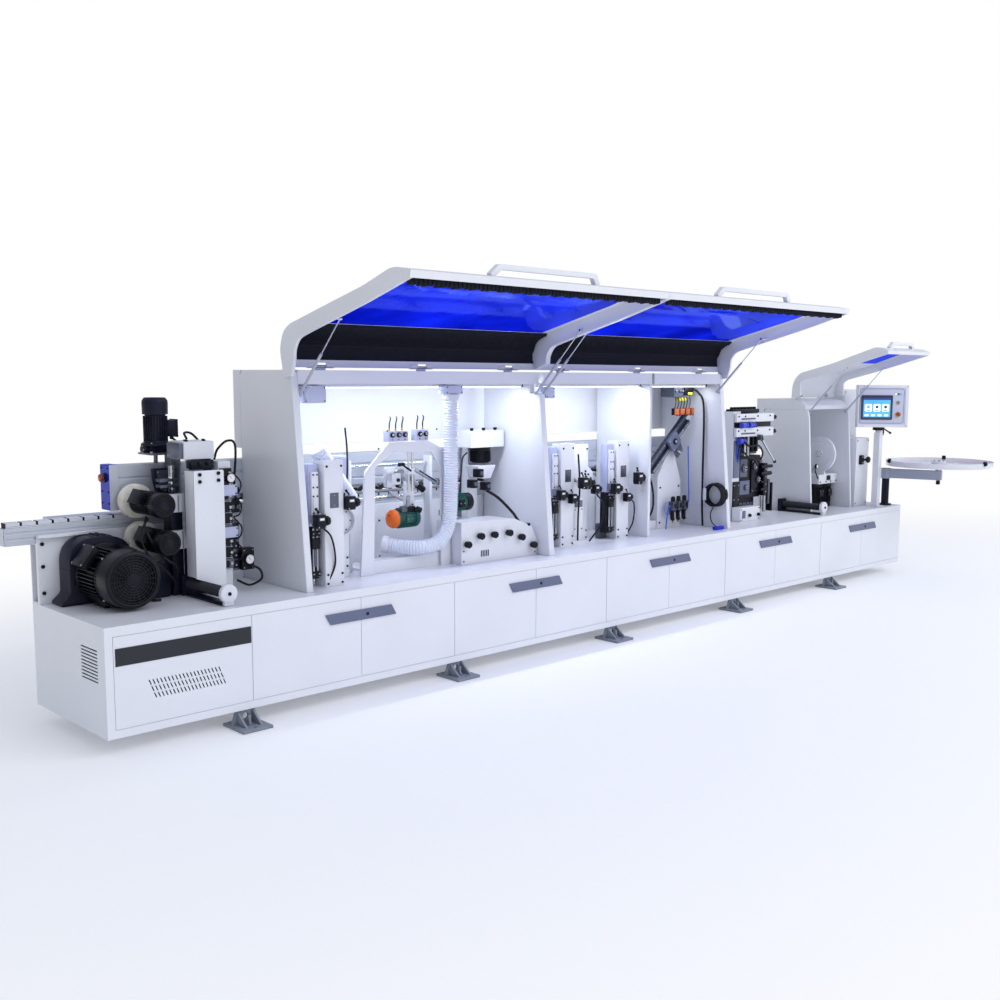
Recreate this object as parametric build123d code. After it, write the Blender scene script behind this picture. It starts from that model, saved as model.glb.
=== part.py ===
"""Long edge-working machine with its three hoods raised, one STEP file per piece.

Millimetres. X runs along the machine, from the end-cap end on the left to the infeed on the right.
Y runs from the operator's side (door faces at y = 0) to the back, Z up from the floor (z = 0).
Each piece is modelled in these machine coordinates and centred over the origin when saved.
"""
from build123d import *
import math
import os

os.makedirs("parts", exist_ok=True)

# ---------------------------------------------------------------- driving dimensions
FIT = 0.06                               # radial running clearance

# base cabinet
BASE_L, BASE_D = 7290.0, 790.0
BASE_Z0, BASE_TOP = 85.0, 595.0          # underside and table top
SHEET = 6.0
FRONT_T = 9.0                            # cabinet front, thicker than the other sheets

# front panels
PANEL_T = 3.0
PANEL_Z0, PANEL_Z1 = 123.0, 550.0        # recessed band that takes the panels
PANEL_GAP = 2.0
SEAMS = [38, 736, 1391, 2041, 2698, 3346, 4000, 4654, 5308, 5962, 6615, 7270]
FIXED_INDEX = [1, 3, 5, 7, 9]
DOOR_INDEX = [2, 4, 6, 8, 10]            # panels that swing
HANDLE_X = [1164, 2470, 3780, 5081, 6399]
HANDLE_L, HANDLE_Z0, HANDLE_Z1, HANDLE_LEAN = 425.0, 430.0, 485.0, 31.0

# feet
FOOT_X = [619, 1982, 3341, 4716, 6057]   # left edge of each foot
FOOT_W, FOOT_OUT, FOOT_T = 163.0, 103.0, 14.0
ANCHOR_R = 9.0

# conveyor, support rail and pressure beam
CHAIN_X0, CHAIN_X1 = -146.0, 7400.0
PAD_X0, PAD_X1, PAD_L = -134, 7386, 66
PITCH = 76                               # of the chain pads and the pressure rollers
PAD_BASE_Z, WORK_Z = 983.0, 1000.0       # underside and top of the chain pads
PATH_GAP = 20.0                          # panel thickness set at rest
ARM_X = [400, 1500, 2600, 3700, 4800, 5900, 6900]
ARM_Z, ARM_R = 540, 16
BEAM_X0, BEAM_X1 = 412.0, 5720.0
GUIDE_X = (653, 6100)                    # bellows guides
GUIDE_Z = 656

# enclosure
WALL_T, WALL2_T = 40.0, 45.0
WALL1_X, WALL2_X, WALL3_X = 1113.0, 2900.0, 4790.0
ENC_TOP, ENC_REAR, ENC_BACK = 1730.0, 690.0, 760.0
ENC_SKIN = 3.0
INF_WALL_X, INF_WALL_T = (6136, 6775), 22
INF_TOP = 1530

# hoods and their hinges
HINGE_Y, HINGE_Z = 250.0, 1749.0
HOODS = {"left": (1092.0, 2921.0), "centre": (2923.0, 4850.0)}
HOOD_SKIN, HOOD_SIDE = 3.0, 18.0
INF_HINGE_Y, INF_HINGE_Z = 430.0, 1556.0
INF_X0, INF_X1 = 6114.0, 6818.0
KNUCKLES = {"left": [1300, 1980, 2660], "centre": [3120, 3880, 4580]}
INF_KNUCKLES = [6220, 6620]
KNUCKLE_L, KNUCKLE_R, KNUCKLE_HALF = 60, 9, 6
LEAF_L, PIN_R = 50, 4

# gas struts: (y, z) of the frame end and of the hood end
STRUT_FRAME, STRUT_HOOD = (200.0, 1601.0), (-164.0, 1976.0)
INF_STRUT_FRAME, INF_STRUT_HOOD = (278.0, 1420.0), (-50.0, 1785.0)
STRUT_W = 16.0
STUD_R = 5

# console and tape tray
CONSOLE_X, CONSOLE_Y, CONSOLE_YAW = 7020.0, 100.0, -45.0
CONSOLE_LIFT = 24.0
TRAY_PIVOT = (7197.0, 104.0)
TRAY_CENTRE = (7311.0, -322.0)
TRAY_R = 438.0

# centre of the overall plan, which is moved to the origin
CENTRE_X = (CHAIN_X0 + TRAY_CENTRE[0] + TRAY_R) / 2
CENTRE_Y = (-799.0 + 893.0) / 2


# ---------------------------------------------------------------- helpers
def block(x0, x1, y0, y1, z0, z1):
    return Pos((x0 + x1) / 2, (y0 + y1) / 2, (z0 + z1) / 2) * Box(x1 - x0, y1 - y0, z1 - z0)


def blocks(*rows):
    """Separate blocks, one per row of x0, x1, y0, y1, z0, z1."""
    return [block(*row) for row in rows]


def cyl(axis, u, v, radius, start, end):
    """Cylinder along an axis; u and v are its two other coordinates, in x, y, z order."""
    middle, length = (start + end) / 2, end - start
    if axis == "X":
        return Pos(middle, u, v) * Rot(0, 90, 0) * Cylinder(radius, length)
    if axis == "Y":
        return Pos(u, middle, v) * Rot(90, 0, 0) * Cylinder(radius, length)
    return Pos(u, v, middle) * Cylinder(radius, length)


def unit(start, end):
    step = (end[0] - start[0], end[1] - start[1])
    length = math.hypot(*step)
    return step[0] / length, step[1] / length


def prism(axis, outline, start, end):
    """Extrude an outline along an axis; a point may carry a corner radius as third value."""
    def at_start(point):
        u, v = point
        return {"X": (start, u, v), "Y": (u, start, v), "Z": (u, v, start)}[axis]

    count, edges, ends = len(outline), [], []
    for i, corner in enumerate(outline):
        point = corner[:2]
        radius = corner[2] if len(corner) > 2 else 0
        if not radius:
            ends.append((point, point))
            continue
        back = unit(point, outline[i - 1])
        ahead = unit(point, outline[(i + 1) % count])
        half = math.acos(max(-1, min(1, back[0] * ahead[0] + back[1] * ahead[1]))) / 2
        cut = radius / math.tan(half)
        depth = radius / math.sin(half) - radius
        inward = unit((0, 0), (back[0] + ahead[0], back[1] + ahead[1]))
        arc = [(point[0] + way[0] * reach, point[1] + way[1] * reach)
               for way, reach in ((back, cut), (inward, depth), (ahead, cut))]
        ends.append((arc[0], arc[2]))
        edges.append(Edge.make_three_point_arc(*[at_start(p) for p in arc]))
    for i in range(count):
        leave, arrive = ends[i][1], ends[(i + 1) % count][0]
        if math.hypot(leave[0] - arrive[0], leave[1] - arrive[1]) > 1e-6:
            edges.append(Edge.make_line(at_start(leave), at_start(arrive)))
    length = end - start
    travel = {"X": (length, 0, 0), "Y": (0, length, 0), "Z": (0, 0, length)}[axis]
    return Solid.extrude(Face(Wire(edges)), Vector(*travel))


def tube(radius, *points):
    path = Edge.make_spline([Vector(*p) for p in points])
    return sweep(Plane(origin=path @ 0, z_dir=path % 0) * Circle(radius), path=path)


def rod(start, end, radius):
    """Cylinder between two points in space."""
    foot = Vector(*start)
    run = Vector(*end) - foot
    return Plane(origin=foot, z_dir=run) * Pos(0, 0, run.length / 2) * Cylinder(radius, run.length)


def hexhead(axis, u, v, radius, start, end):
    corners = [(u + radius * math.cos(k * math.pi / 3), v + radius * math.sin(k * math.pi / 3))
               for k in range(6)]
    return prism(axis, corners, start, end)


def offset_line(line, distance):
    """Move an open outline to its left, mitred."""
    normals = []
    for start, end in zip(line, line[1:]):
        along = unit(start, end)
        normals.append((-along[1], along[0]))
    moved = []
    for i, point in enumerate(line):
        near = normals[max(i - 1, 0):i + 1]
        mitre = (near[0][0] + near[-1][0], near[0][1] + near[-1][1])
        scale = 2 * distance / (mitre[0] ** 2 + mitre[1] ** 2)
        moved.append((point[0] + mitre[0] * scale, point[1] + mitre[1] * scale))
    return moved


def smooth(line, reach):
    """Round the inner corners of an open outline with short chords."""
    points = [line[0]]
    for before, corner, after in zip(line, line[1:], line[2:]):
        len_before, len_after = math.dist(before, corner), math.dist(after, corner)
        cut = min(reach, len_before * 0.45, len_after * 0.45)
        start = [corner[i] + (before[i] - corner[i]) * cut / len_before for i in (0, 1)]
        end = [corner[i] + (after[i] - corner[i]) * cut / len_after for i in (0, 1)]
        for k in range(7):
            w = k / 6
            points.append(tuple((1 - w) ** 2 * start[i] + 2 * w * (1 - w) * corner[i]
                                + w * w * end[i] for i in (0, 1)))
    points.append(line[-1])
    return points


def solids(*items):
    """Flatten shapes and nested lists of shapes into a list of solids."""
    found = []
    for item in items:
        if isinstance(item, (list, tuple, ShapeList)):
            found += solids(*item)
        else:
            found += list(item.solids())
    return found


def save(name, *items):
    """Centre the solids of a piece over the origin and write its STEP file."""
    moved = [Pos(-CENTRE_X, -CENTRE_Y, 0) * solid for solid in solids(*items)]
    shape = moved[0] if len(moved) == 1 else Compound(children=moved)
    shape.label = name
    export_step(shape, f"parts/{name}.step")


# ---------------------------------------------------------------- base cabinet
base = block(0, BASE_L, 0, BASE_D, BASE_Z0, BASE_TOP)
base -= block(SHEET, BASE_L - SHEET, FRONT_T, BASE_D - SHEET, BASE_Z0 + SHEET, BASE_TOP - SHEET)
base -= block(SEAMS[0], SEAMS[-1], -1, PANEL_T, PANEL_Z0, PANEL_Z1)
for seam, next_seam in zip(SEAMS, SEAMS[1:]):    # openings behind the panels
    base -= block(seam + 14, next_seam - 12, PANEL_T - 1, FRONT_T + 1,
                  PANEL_Z0 + 12, PANEL_Z1 - 12)
for k in range(10):                              # louvre in the left end
    base -= block(-1, SHEET + 1, 76, 250, 330 + k * 16, 337 + k * 16)
for x in ARM_X:
    base -= cyl("Y", x, ARM_Z, ARM_R + FIT, 780, 795)
save("base_cabinet", base)


# ---------------------------------------------------------------- front panels
def panel(x0, x1):
    return block(x0, x1, 0, PANEL_T, PANEL_Z0 + PANEL_GAP, PANEL_Z1 - PANEL_GAP)


vent = panel(SEAMS[0] + 2, SEAMS[1] - 1)
for row in range(3):                             # rows of slanted slots
    slot_z = 326 - row * 32
    for k in range(20):
        x = 200 + k * 18.5 + row * 12
        slot = [(x, slot_z), (x + 6, slot_z), (x + 16, slot_z - 24), (x + 10, slot_z - 24)]
        vent -= prism("Y", slot, -1, PANEL_T + 1)
save("fixed_panels", vent, block(48, 733, -2, 0, 413, 494),
     [panel(SEAMS[i] + 4, SEAMS[i + 1] - 1) for i in FIXED_INDEX])


def door(x0, x1, handle_x):
    plate = panel(x0, x1)
    rim = block(x0 + 16, x1 - 16, PANEL_T, 18, PANEL_Z0 + 16, PANEL_Z1 - 16)
    rim -= block(x0 + 18, x1 - 18, PANEL_T - 1, 19, PANEL_Z0 + 18, PANEL_Z1 - 18)
    handle_end = handle_x + HANDLE_L
    handle = prism("Y", [(handle_x, HANDLE_Z1), (handle_end, HANDLE_Z1),
                         (handle_end + HANDLE_LEAN, HANDLE_Z0),
                         (handle_x + HANDLE_LEAN, HANDLE_Z0)], -8, 0)
    lock = cyl("Y", handle_x + 0.62 * HANDLE_L, 458, 9, -11, -8)
    return plate + rim + handle + lock


for number, (i, handle_x) in enumerate(zip(DOOR_INDEX, HANDLE_X), 1):
    save(f"door_{number}", door(SEAMS[i] + 2, SEAMS[i + 1], handle_x))


# ---------------------------------------------------------------- levelling feet
def foot(left, at_back):
    """Foot and its levelling screw; the back one mirrors the front one."""
    def flip(y):
        return BASE_D - y if at_back else y

    def span(y0, y1):
        return sorted((flip(y0), flip(y1)))

    right, middle = left + FOOT_W, left + FOOT_W / 2
    body = block(left, right, *span(-FOOT_OUT, 90), 0, FOOT_T)
    web = prism("Y", [(left + 6, FOOT_T), (right - 6, FOOT_T),
                      (right - 32, BASE_Z0), (left + 32, BASE_Z0)], *span(14, 30))
    web -= cyl("Y", middle, 50, 17, *span(10, 34))
    body += web
    body += block(left + 32, right - 32, *span(30, 90), 77, BASE_Z0)
    for x in (left + 34, right - 46):
        body += prism("X", [(flip(14), FOOT_T), (flip(-70), FOOT_T), (flip(14), 80)], x, x + 12)
    body -= cyl("Z", middle, flip(-72), ANCHOR_R, -1, FOOT_T + 1)
    screw = hexhead("Z", middle, flip(-20), 15, 14, 26) + cyl("Z", middle, flip(-20), 8, 26, 62)
    return [body, screw]


save("levelling_feet", [foot(x, at_back) for x in FOOT_X for at_back in (False, True)])

# ---------------------------------------------------------------- rear rail, chain conveyor
rail = block(0, BASE_L, 700, 716, BASE_TOP, 934)
rail += (block(0, BASE_L, 716, 790, BASE_TOP, 890)
         - block(-1, BASE_L + 1, 724, 782, BASE_TOP + 8, 882))
ledge = prism("Z", [(0, 700), (0, 684, 12), (40, 660, 20), (150, 660, 30), (300, 700)], 922, 934)
save("rear_rail", rail + ledge, [hexhead("Y", 22, z, 10, 692, 700) for z in (650, 780, 890)])

chain_beam = block(CHAIN_X0, CHAIN_X1, 718, 785, 890, 975)
for z in (915, 945):                             # grooves along the front face
    chain_beam -= block(CHAIN_X0 - 1, CHAIN_X1 + 1, 717, 722, z, z + 10)
chain_beam += block(CHAIN_X0, CHAIN_X0 + 12, 714, 718, 896, 975)
save("chain_beam", chain_beam)

pads = block(PAD_X0, PAD_X1, 724, 779, 975, PAD_BASE_Z)
for x in range(PAD_X0, PAD_X1 - PAD_L + 1, PITCH):
    pads += block(x, x + PAD_L, 722, 781, PAD_BASE_Z, WORK_Z)
save("chain_pads", pads)

support = [block(104, 7200, 800, 884, 985, 999)]
for x in ARM_X:                                  # upright and sliding arm
    support += [block(x - 25, x + 25, 800, 812, 510, 985), cyl("Y", x, ARM_Z, ARM_R, 150, 800)]
save("support_rail", support)

# ---------------------------------------------------------------- pressure beam
PRESS_Z = WORK_Z + PATH_GAP                      # underside of the rollers
SPINDLE_X, SPINDLE_Y = 639, 737
ESTOP_Y, ESTOP_Z = 737, 1188
ROLLER_R = 22

beam = block(BEAM_X0, BEAM_X1, 690, 785, PRESS_Z + 44, 1250)
for z in (1098, 1178):                           # grooves along the front face
    beam -= block(BEAM_X0 - 1, BEAM_X1 + 1, 689, 696, z, z + 12)
beam -= cyl("Z", SPINDLE_X, SPINDLE_Y, 14, 1150, 1251)
save("pressure_beam", beam)

cap = prism("Y", [(364, PRESS_Z + 4, 6), (BEAM_X0, PRESS_Z + 4), (BEAM_X0, 1254), (364, 1254, 6)],
            686, 789)
cap -= cyl("X", ESTOP_Y, ESTOP_Z, 9 + FIT, 363, 400)
save("beam_end_cap", cap)
save("beam_estop_button",
     cyl("X", ESTOP_Y, ESTOP_Z, 20, 334, 350) + cyl("X", ESTOP_Y, ESTOP_Z, 9, 350, 390))

rollers = block(430, 5690, 700, 776, PRESS_Z + 24, PRESS_Z + 44)
for x in range(462, 5680, PITCH):
    rollers += cyl("Y", x, PRESS_Z + ROLLER_R, ROLLER_R, 696, 780)
save("pressure_rollers", rollers)

# ---------------------------------------------------------------- lift drive above the beam
LIFT_Y = 728
lift = cyl("Z", SPINDLE_X, LIFT_Y, 60, 1352, 1560) + cyl("Z", SPINDLE_X, LIFT_Y, 64, 1500, 1586)
lift += block(690, 742, 690, 766, 1385, 1470)
lift += cyl("Z", SPINDLE_X, LIFT_Y, 75, 1339, 1352)
lift += block(588, 690, 690, 770, 1306, 1339) + cyl("X", LIFT_Y, 1322, 26, 560, 720)
lift += cyl("Z", SPINDLE_X, SPINDLE_Y, 12, 1200, 1306)
lift_column = block(660, 722, 630, 684, BASE_TOP, 1296)
lift_plate = block(560, 760, 630, 772, 1296, 1306)
lift_plate -= cyl("Z", SPINDLE_X, SPINDLE_Y, 16, 1290, 1310)
hopper = prism("Y", [(470, 1290, 6), (560, 1290), (640, 1290, 6), (625, 1140, 20),
                     (560, 1110, 20), (500, 1190, 20)], 664, 684)
save("lift_motor", lift, lift_column + lift_plate, hopper)

# ---------------------------------------------------------------- main feed motor
bearer = prism("Y", [(52, BASE_TOP), (52, 612), (95, 650, 30), (95, 920, 160),
                     (425, 920, 160), (425, BASE_TOP)], 545, 690)
motor = cyl("Y", 262, 745, 132, 395, 545) + cyl("Y", 262, 745, 142, 330, 400)
motor += block(190, 334, 410, 520, BASE_TOP, 640)
save("drive_motor", bearer, motor)

# ---------------------------------------------------------------- buffing
# wheel name, axis x, axis z, wheel radius
BUFF_WHEELS = [("upper", 474.0, 1072.0, 102), ("lower", 497.0, 885.0, 82)]
BUFF_MOTOR_R, BUFF_SHAFT_R = 73, 12
(_, UPPER_X, _, _), (_, LOWER_X, _, _) = BUFF_WHEELS

buffing = []
for _, x, z, _ in BUFF_WHEELS:
    motor = cyl("Y", x, z, BUFF_MOTOR_R, 400, 590)
    motor -= cyl("Y", x, z, BUFF_SHAFT_R + FIT, 540, 591)
    buffing.append(motor)
buffing += blocks((580, 640, 472, 560, BASE_TOP, 1112),
                  (UPPER_X + BUFF_MOTOR_R, 660, 440, 472, 1021, 1112),
                  (LOWER_X + BUFF_MOTOR_R, 674, 440, 472, 835, 929))
save("buffing_unit", buffing)
for name, x, z, radius in BUFF_WHEELS:
    save(f"buff_wheel_{name}", cyl("Y", x, z, radius, 618, 662)
         + cyl("Y", x, z, BUFF_SHAFT_R, 545, 618) + cyl("Y", x, z, 28, 600, 618))

# ---------------------------------------------------------------- scraper unit
cover = prism("Y", [(619, 698), (783, 639, 10), (783, 1234, 10), (619, 1234)], 306, 312)
cover += block(619, 625, 312, 400, 700, 1234)
scraper = [cover]
for x, z in ((650, 1215), (752, 1218), (650, 1180), (752, 1183)):
    scraper.append(cyl("Y", x, z, 9, 298, 306))
scraper.append(block(621, 786, 400, 560, 1282, 1373))
for x, y in ((645, 420), (665, 470), (740, 420), (765, 470)):
    scraper.append(cyl("Z", x, y, 9, 1373, 1390))
scraper += blocks((724, 780, 420, 530, BASE_TOP, 1282), (625, 724, 400, 420, 900, 1234))
for x in GUIDE_X:                                # round end brackets of the bellows guides
    scraper.append(cyl("Y", x, GUIDE_Z, 46, 52, 80) + block(x - 28, x + 28, 52, 80, BASE_TOP, 640))
    scraper.append(block(x - 28, x + 28, 80, 470, BASE_TOP, 610))
save("scraper_unit", scraper)

# ---------------------------------------------------------------- enclosure walls
# (y, z, corner radius) outlines
WALL_REAR = [(83, BASE_TOP), (ENC_REAR, BASE_TOP), (ENC_REAR, ENC_TOP, 40)]
FULL_WALL = WALL_REAR + [(200, ENC_TOP, 16), (186, 1640, 60)]
NOTCHED_WALL = WALL_REAR + [(270, ENC_TOP), (270, 1600), (182, 1600)]
INF_WALL = [(203, BASE_TOP), (ENC_REAR, BASE_TOP), (ENC_REAR, 1445, 40), (272, 1445), (255, 1385)]
PARTITION_X0, PARTITION_X1 = 4005, 4030

walls = [prism("X", FULL_WALL, WALL1_X, WALL1_X + WALL_T),
         prism("X", NOTCHED_WALL, WALL2_X, WALL2_X + WALL2_T),
         prism("X", FULL_WALL, WALL3_X, WALL3_X + WALL_T),
         block(PARTITION_X0, PARTITION_X1, 205, ENC_REAR, BASE_TOP, 1657)]
walls += [prism("X", INF_WALL, x, x + INF_WALL_T) for x in INF_WALL_X]
save("enclosure_walls", walls)


# ---------------------------------------------------------------- enclosure roof
def knuckles(starts, y, z, top):
    """Fixed halves of the hood hinges, standing on the roof, each with its pin."""
    made = []
    for x in starts:
        end = x + KNUCKLE_L
        knuckle = cyl("X", y, z, KNUCKLE_R, x, end)
        knuckle += block(x, end, y - KNUCKLE_HALF, y + KNUCKLE_HALF, top, z)
        knuckle += cyl("X", y, z, PIN_R, x - LEAF_L, end + LEAF_L)
        made.append(knuckle)
    return made


def back_box(x0, x1, z0, z1):
    """Sheet box behind the enclosure, open at its front and underneath."""
    return (block(x0, x1, ENC_REAR, ENC_BACK, z0, z1)
            - block(x0 + ENC_SKIN, x1 - ENC_SKIN, ENC_REAR - 1, ENC_BACK - ENC_SKIN,
                    z0 - 1, z1 - ENC_SKIN))


roof = []
for x0, x1 in ((WALL1_X + WALL_T, WALL2_X - 2), (WALL2_X + 47, PARTITION_X0),
               (PARTITION_X1, WALL3_X)):
    header = block(x0, x1, 190, 250, 1657, ENC_TOP)
    header -= block(x0 - 1, x1 + 1, 193, 251, 1660, ENC_TOP - ENC_SKIN)
    header += block(x0, x1, 250, ENC_REAR, ENC_TOP - ENC_SKIN, ENC_TOP)
    roof.append(header)
roof += knuckles(KNUCKLES["left"] + KNUCKLES["centre"], HINGE_Y, HINGE_Z, ENC_TOP)
roof.append(back_box(WALL1_X, WALL3_X + WALL_T, 1310, ENC_TOP))
INF_BODY_X0, INF_BODY_X1 = INF_WALL_X[0], INF_WALL_X[1] + INF_WALL_T
inf_roof = prism("X", [(291, 1445), (690, 1445), (690, INF_TOP), (405, INF_TOP), (340, 1515),
                       (291, 1478)], INF_BODY_X0, INF_BODY_X1)
inf_roof -= prism("X", [(294, 1444), (691, 1444), (691, 1527), (404.7, 1527), (341.4, 1512.4),
                        (294, 1476.6)], INF_BODY_X0 + ENC_SKIN, INF_BODY_X1 - ENC_SKIN)
roof.append(inf_roof)
roof += knuckles(INF_KNUCKLES, INF_HINGE_Y, INF_HINGE_Z, INF_TOP)
roof.append(back_box(INF_BODY_X0, INF_BODY_X1, 1100, INF_TOP))
save("enclosure_roof", roof)

save("work_lights", blocks(
    (1200, 2840, 266, 310, 1640, 1657), (2990, 3980, 266, 310, 1640, 1657),
    (4060, 4740, 266, 310, 1640, 1657), (1196, 1330, 200, 262, 1560, 1650),
    (2150, 2280, 196, 262, 1600, 1650), (2975, 3055, 200, 262, 1570, 1640)))

# ---------------------------------------------------------------- hoods
# (y, z) side profiles of the raised hoods, from the hinge to the front lip:
# outer is the upper line, inner the lower edge of the sides
OUTER = smooth([(238, 1744), (260, 1835), (228, 1920), (171, 1957), (53, 1987), (-205, 2053),
                (-446, 2113), (-672, 2189), (-799, 2165)], 55)
INNER = smooth([(135, 1782), (132, 1832), (94, 1885), (-31, 1921), (-284, 1987),
                (-490, 2042), (-791, 2131)], 45)
INF_OUTER = smooth([(413, 1541), (407, 1648), (380, 1706), (334, 1747), (59, 1818),
                    (-339, 1952), (-433, 1919)], 50)
INF_INNER = smooth([(332, 1558), (335, 1665), (300, 1690), (86, 1746), (-3, 1769),
                    (-426, 1893)], 40)
WINDOW_GAP = 0.5


def hood_grip(x0, x1, y, z, height):
    top, hole_top = z + height, z + height - 26
    grip = prism("Y", [(x0, z, 8), (x0 + 70, top, 26), (x1 - 30, top, 20), (x1, z, 8)],
                 y - 15, y + 15)
    grip -= prism("Y", [(x0 + 46, z - 1), (x0 + 88, hole_top, 10), (x1 - 52, hole_top, 10),
                        (x1 - 36, z - 1)], y - 16, y + 16)
    return grip


def hood(x0, x1, outer, inner, hinge, roof_z, knuckle_xs, window, grip):
    """Shell and window pane; hinge is (y, z), window x0, x1, y0, y1."""
    hinge_y, hinge_z = hinge
    full = prism("X", outer + inner[::-1], x0, x1)
    deep = offset_line(outer, HOOD_SKIN)
    cavity = prism("X", deep[:-1] + [(deep[-1][0] + 4, deep[-1][1] - 3),
                                     (inner[-1][0] + 6, inner[-1][1] - 30)]
                   + [(y - 30, z - 60) for y, z in inner[::-1][1:]]
                   + [(deep[0][0] - 2, deep[0][1] - 60)], x0 + HOOD_SIDE, x1 - HOOD_SIDE)
    shell = full - cavity

    win_x0, win_x1, win_y0, win_y1 = window
    z0, z1 = min(p[1] for p in outer), max(p[1] for p in outer) + 50
    skin = full & prism("X", outer + deep[::-1], x0, x1)
    pane = skin & block(win_x0 + WINDOW_GAP, win_x1 - WINDOW_GAP,
                        win_y0 + WINDOW_GAP, win_y1 - WINDOW_GAP, z0, z1)
    shell -= block(win_x0, win_x1, win_y0, win_y1, z0, z1)

    leaf_y = outer[0][0] - 2
    leaf = [(leaf_y, hinge_z + 2), (hinge_y - 2, hinge_z + 5), (hinge_y - 2, hinge_z + 8),
            (leaf_y, hinge_z + 16)]
    relief_r = math.hypot(KNUCKLE_HALF, hinge_z - roof_z) + 1.5
    for x in knuckle_xs:                         # relief for the knuckle, a leaf on either side
        shell -= cyl("X", *hinge, relief_r, x - 1, x + KNUCKLE_L + 1)
        for start in (x - LEAF_L - 1, x + KNUCKLE_L + 1):
            shell += cyl("X", *hinge, KNUCKLE_R, start, start + LEAF_L)
            shell += prism("X", leaf, start, start + LEAF_L)
            shell -= cyl("X", *hinge, PIN_R + FIT, start - 1, start + LEAF_L + 2)
    shell += hood_grip(*grip)
    return shell, pane


def foam(x0, x1):
    """Lining under the skin at the hinge end, and a bar at the front lip."""
    near = offset_line(OUTER, HOOD_SKIN + 0.2)

    def layer(depth):
        return prism("X", near[:-1] + offset_line(OUTER, depth)[:-1][::-1],
                     x0 + HOOD_SIDE + 0.5, x1 - HOOD_SIDE - 0.5)

    lining = ((layer(30) & block(x0, x1, 122, 300, 1846, 2300))
              + (layer(7.0) & block(x0, x1, 180, 300, 1778, 1850)))
    bar = prism("X", [(-772, 2098), (-772, 2164), (-746, 2169), (-746, 2098)],
                x0 + HOOD_SIDE + 2, x1 - HOOD_SIDE - 2)
    return [lining, bar]


# x of the inner ends of the left and right strut studs
STUD_ENDS = {"left": (WALL1_X + WALL_T + 4, WALL2_X - 3),
             "centre": (WALL2_X + WALL2_T + 3, WALL3_X - 3)}

for key, (x0, x1) in HOODS.items():
    shell, pane = hood(x0, x1, OUTER, INNER, (HINGE_Y, HINGE_Z), ENC_TOP, KNUCKLES[key],
                       window=(x0 + 70, x1 - 70, -640, 120),
                       grip=(x0 + 545, x0 + 1345, -700, 2181, 58))
    left_end, right_end = STUD_ENDS[key]
    shell += cyl("X", *STRUT_HOOD, STUD_R, x0 + HOOD_SIDE, left_end)
    shell += cyl("X", *STRUT_HOOD, STUD_R, right_end, x1 - HOOD_SIDE)
    # ear below the profile, on the side away from the other hood
    ear_x = x0 if key == "left" else x1 - HOOD_SIDE
    shell += prism("X", [(239, 1748), (236, 1692, 14), (158, 1698, 24), (134, 1786)],
                   ear_x, ear_x + HOOD_SIDE)
    save(f"hood_{key}_shell", shell)
    save(f"hood_{key}_window", pane)
    save(f"hood_{key}_foam", foam(x0, x1))

shell, pane = hood(INF_X0, INF_X1, INF_OUTER, INF_INNER, (INF_HINGE_Y, INF_HINGE_Z), INF_TOP,
                   INF_KNUCKLES, window=(INF_X0 + 60, INF_X1 - 60, -330, 20),
                   grip=(INF_X0 + 140, INF_X0 + 560, -352, 1940, 52))
shell += cyl("X", *INF_STRUT_HOOD, STUD_R, INF_X0 + HOOD_SIDE, 6161)
shell += cyl("X", *INF_STRUT_HOOD, STUD_R, 6772, INF_X1 - HOOD_SIDE)
save("hood_infeed_shell", shell)
save("hood_infeed_window", pane)


# ---------------------------------------------------------------- gas struts
def struts(name, lefts, frame_end, hood_end, tube_end, rod_start):
    """A pair of struts: each tube pivots at the frame end, its rod slides inside it."""
    def along(radius, start, end):
        return Rot(-90, 0, 0) * Pos(0, 0, (start + end) / 2) * Cylinder(radius, end - start)

    def across(radius, width):
        return Rot(0, 90, 0) * Cylinder(radius, width)

    length = math.dist(frame_end, hood_end)
    angle = math.degrees(math.atan2(hood_end[1] - frame_end[1], hood_end[0] - frame_end[0]))
    tubes, rods = [], []
    for left in lefts:
        place = Pos(left + STRUT_W / 2, *frame_end) * Rot(angle, 0, 0)
        body = along(7.5, 14, tube_end)
        body += across(9, STRUT_W)
        body -= along(3.5 + FIT, 10, tube_end + 10)
        body -= across(4 + FIT, STRUT_W + 2)
        body += along(7.5, 5, 17)
        body -= across(4 + FIT, STRUT_W + 2)
        piston = along(3.5, rod_start, length - 6)
        piston += Pos(0, length, 0) * across(8, STRUT_W)
        tubes.append(place * body)
        rods.append(place * piston)
    save(f"strut_cylinders_{name}", tubes)
    save(f"strut_rods_{name}", rods)


struts("left", (WALL1_X + WALL_T + 5, WALL2_X - 20), STRUT_FRAME, STRUT_HOOD, 290, 245)
struts("centre", (WALL2_X + WALL2_T + 4, WALL3_X - 20), STRUT_FRAME, STRUT_HOOD, 290, 245)
struts("infeed", (6162, 6755), INF_STRUT_FRAME, INF_STRUT_HOOD, 300, 215)


# ---------------------------------------------------------------- unit columns
def channel(x0, x1, y0, y1, z0, z1, sheet=5):
    """Folded column, open at the back and underneath."""
    return (block(x0, x1, y0, y1, z0, z1)
            - block(x0 + sheet, x1 - sheet, y0 + sheet, y1 + 1, z0 - 1, z1 - sheet))


columns = [channel(1275, 1398, 150, 250, BASE_TOP, 1262),
           channel(1404, 1560, 330, 420, 640, 1270),
           block(1404, 1560, 330, 420, BASE_TOP, 640),
           channel(3219, 3343, 291, 380, BASE_TOP, 1271),
           channel(3775, 3900, 291, 380, BASE_TOP, 1271),
           channel(3420, 3620, 420, 500, BASE_TOP, 1250)]
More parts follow.
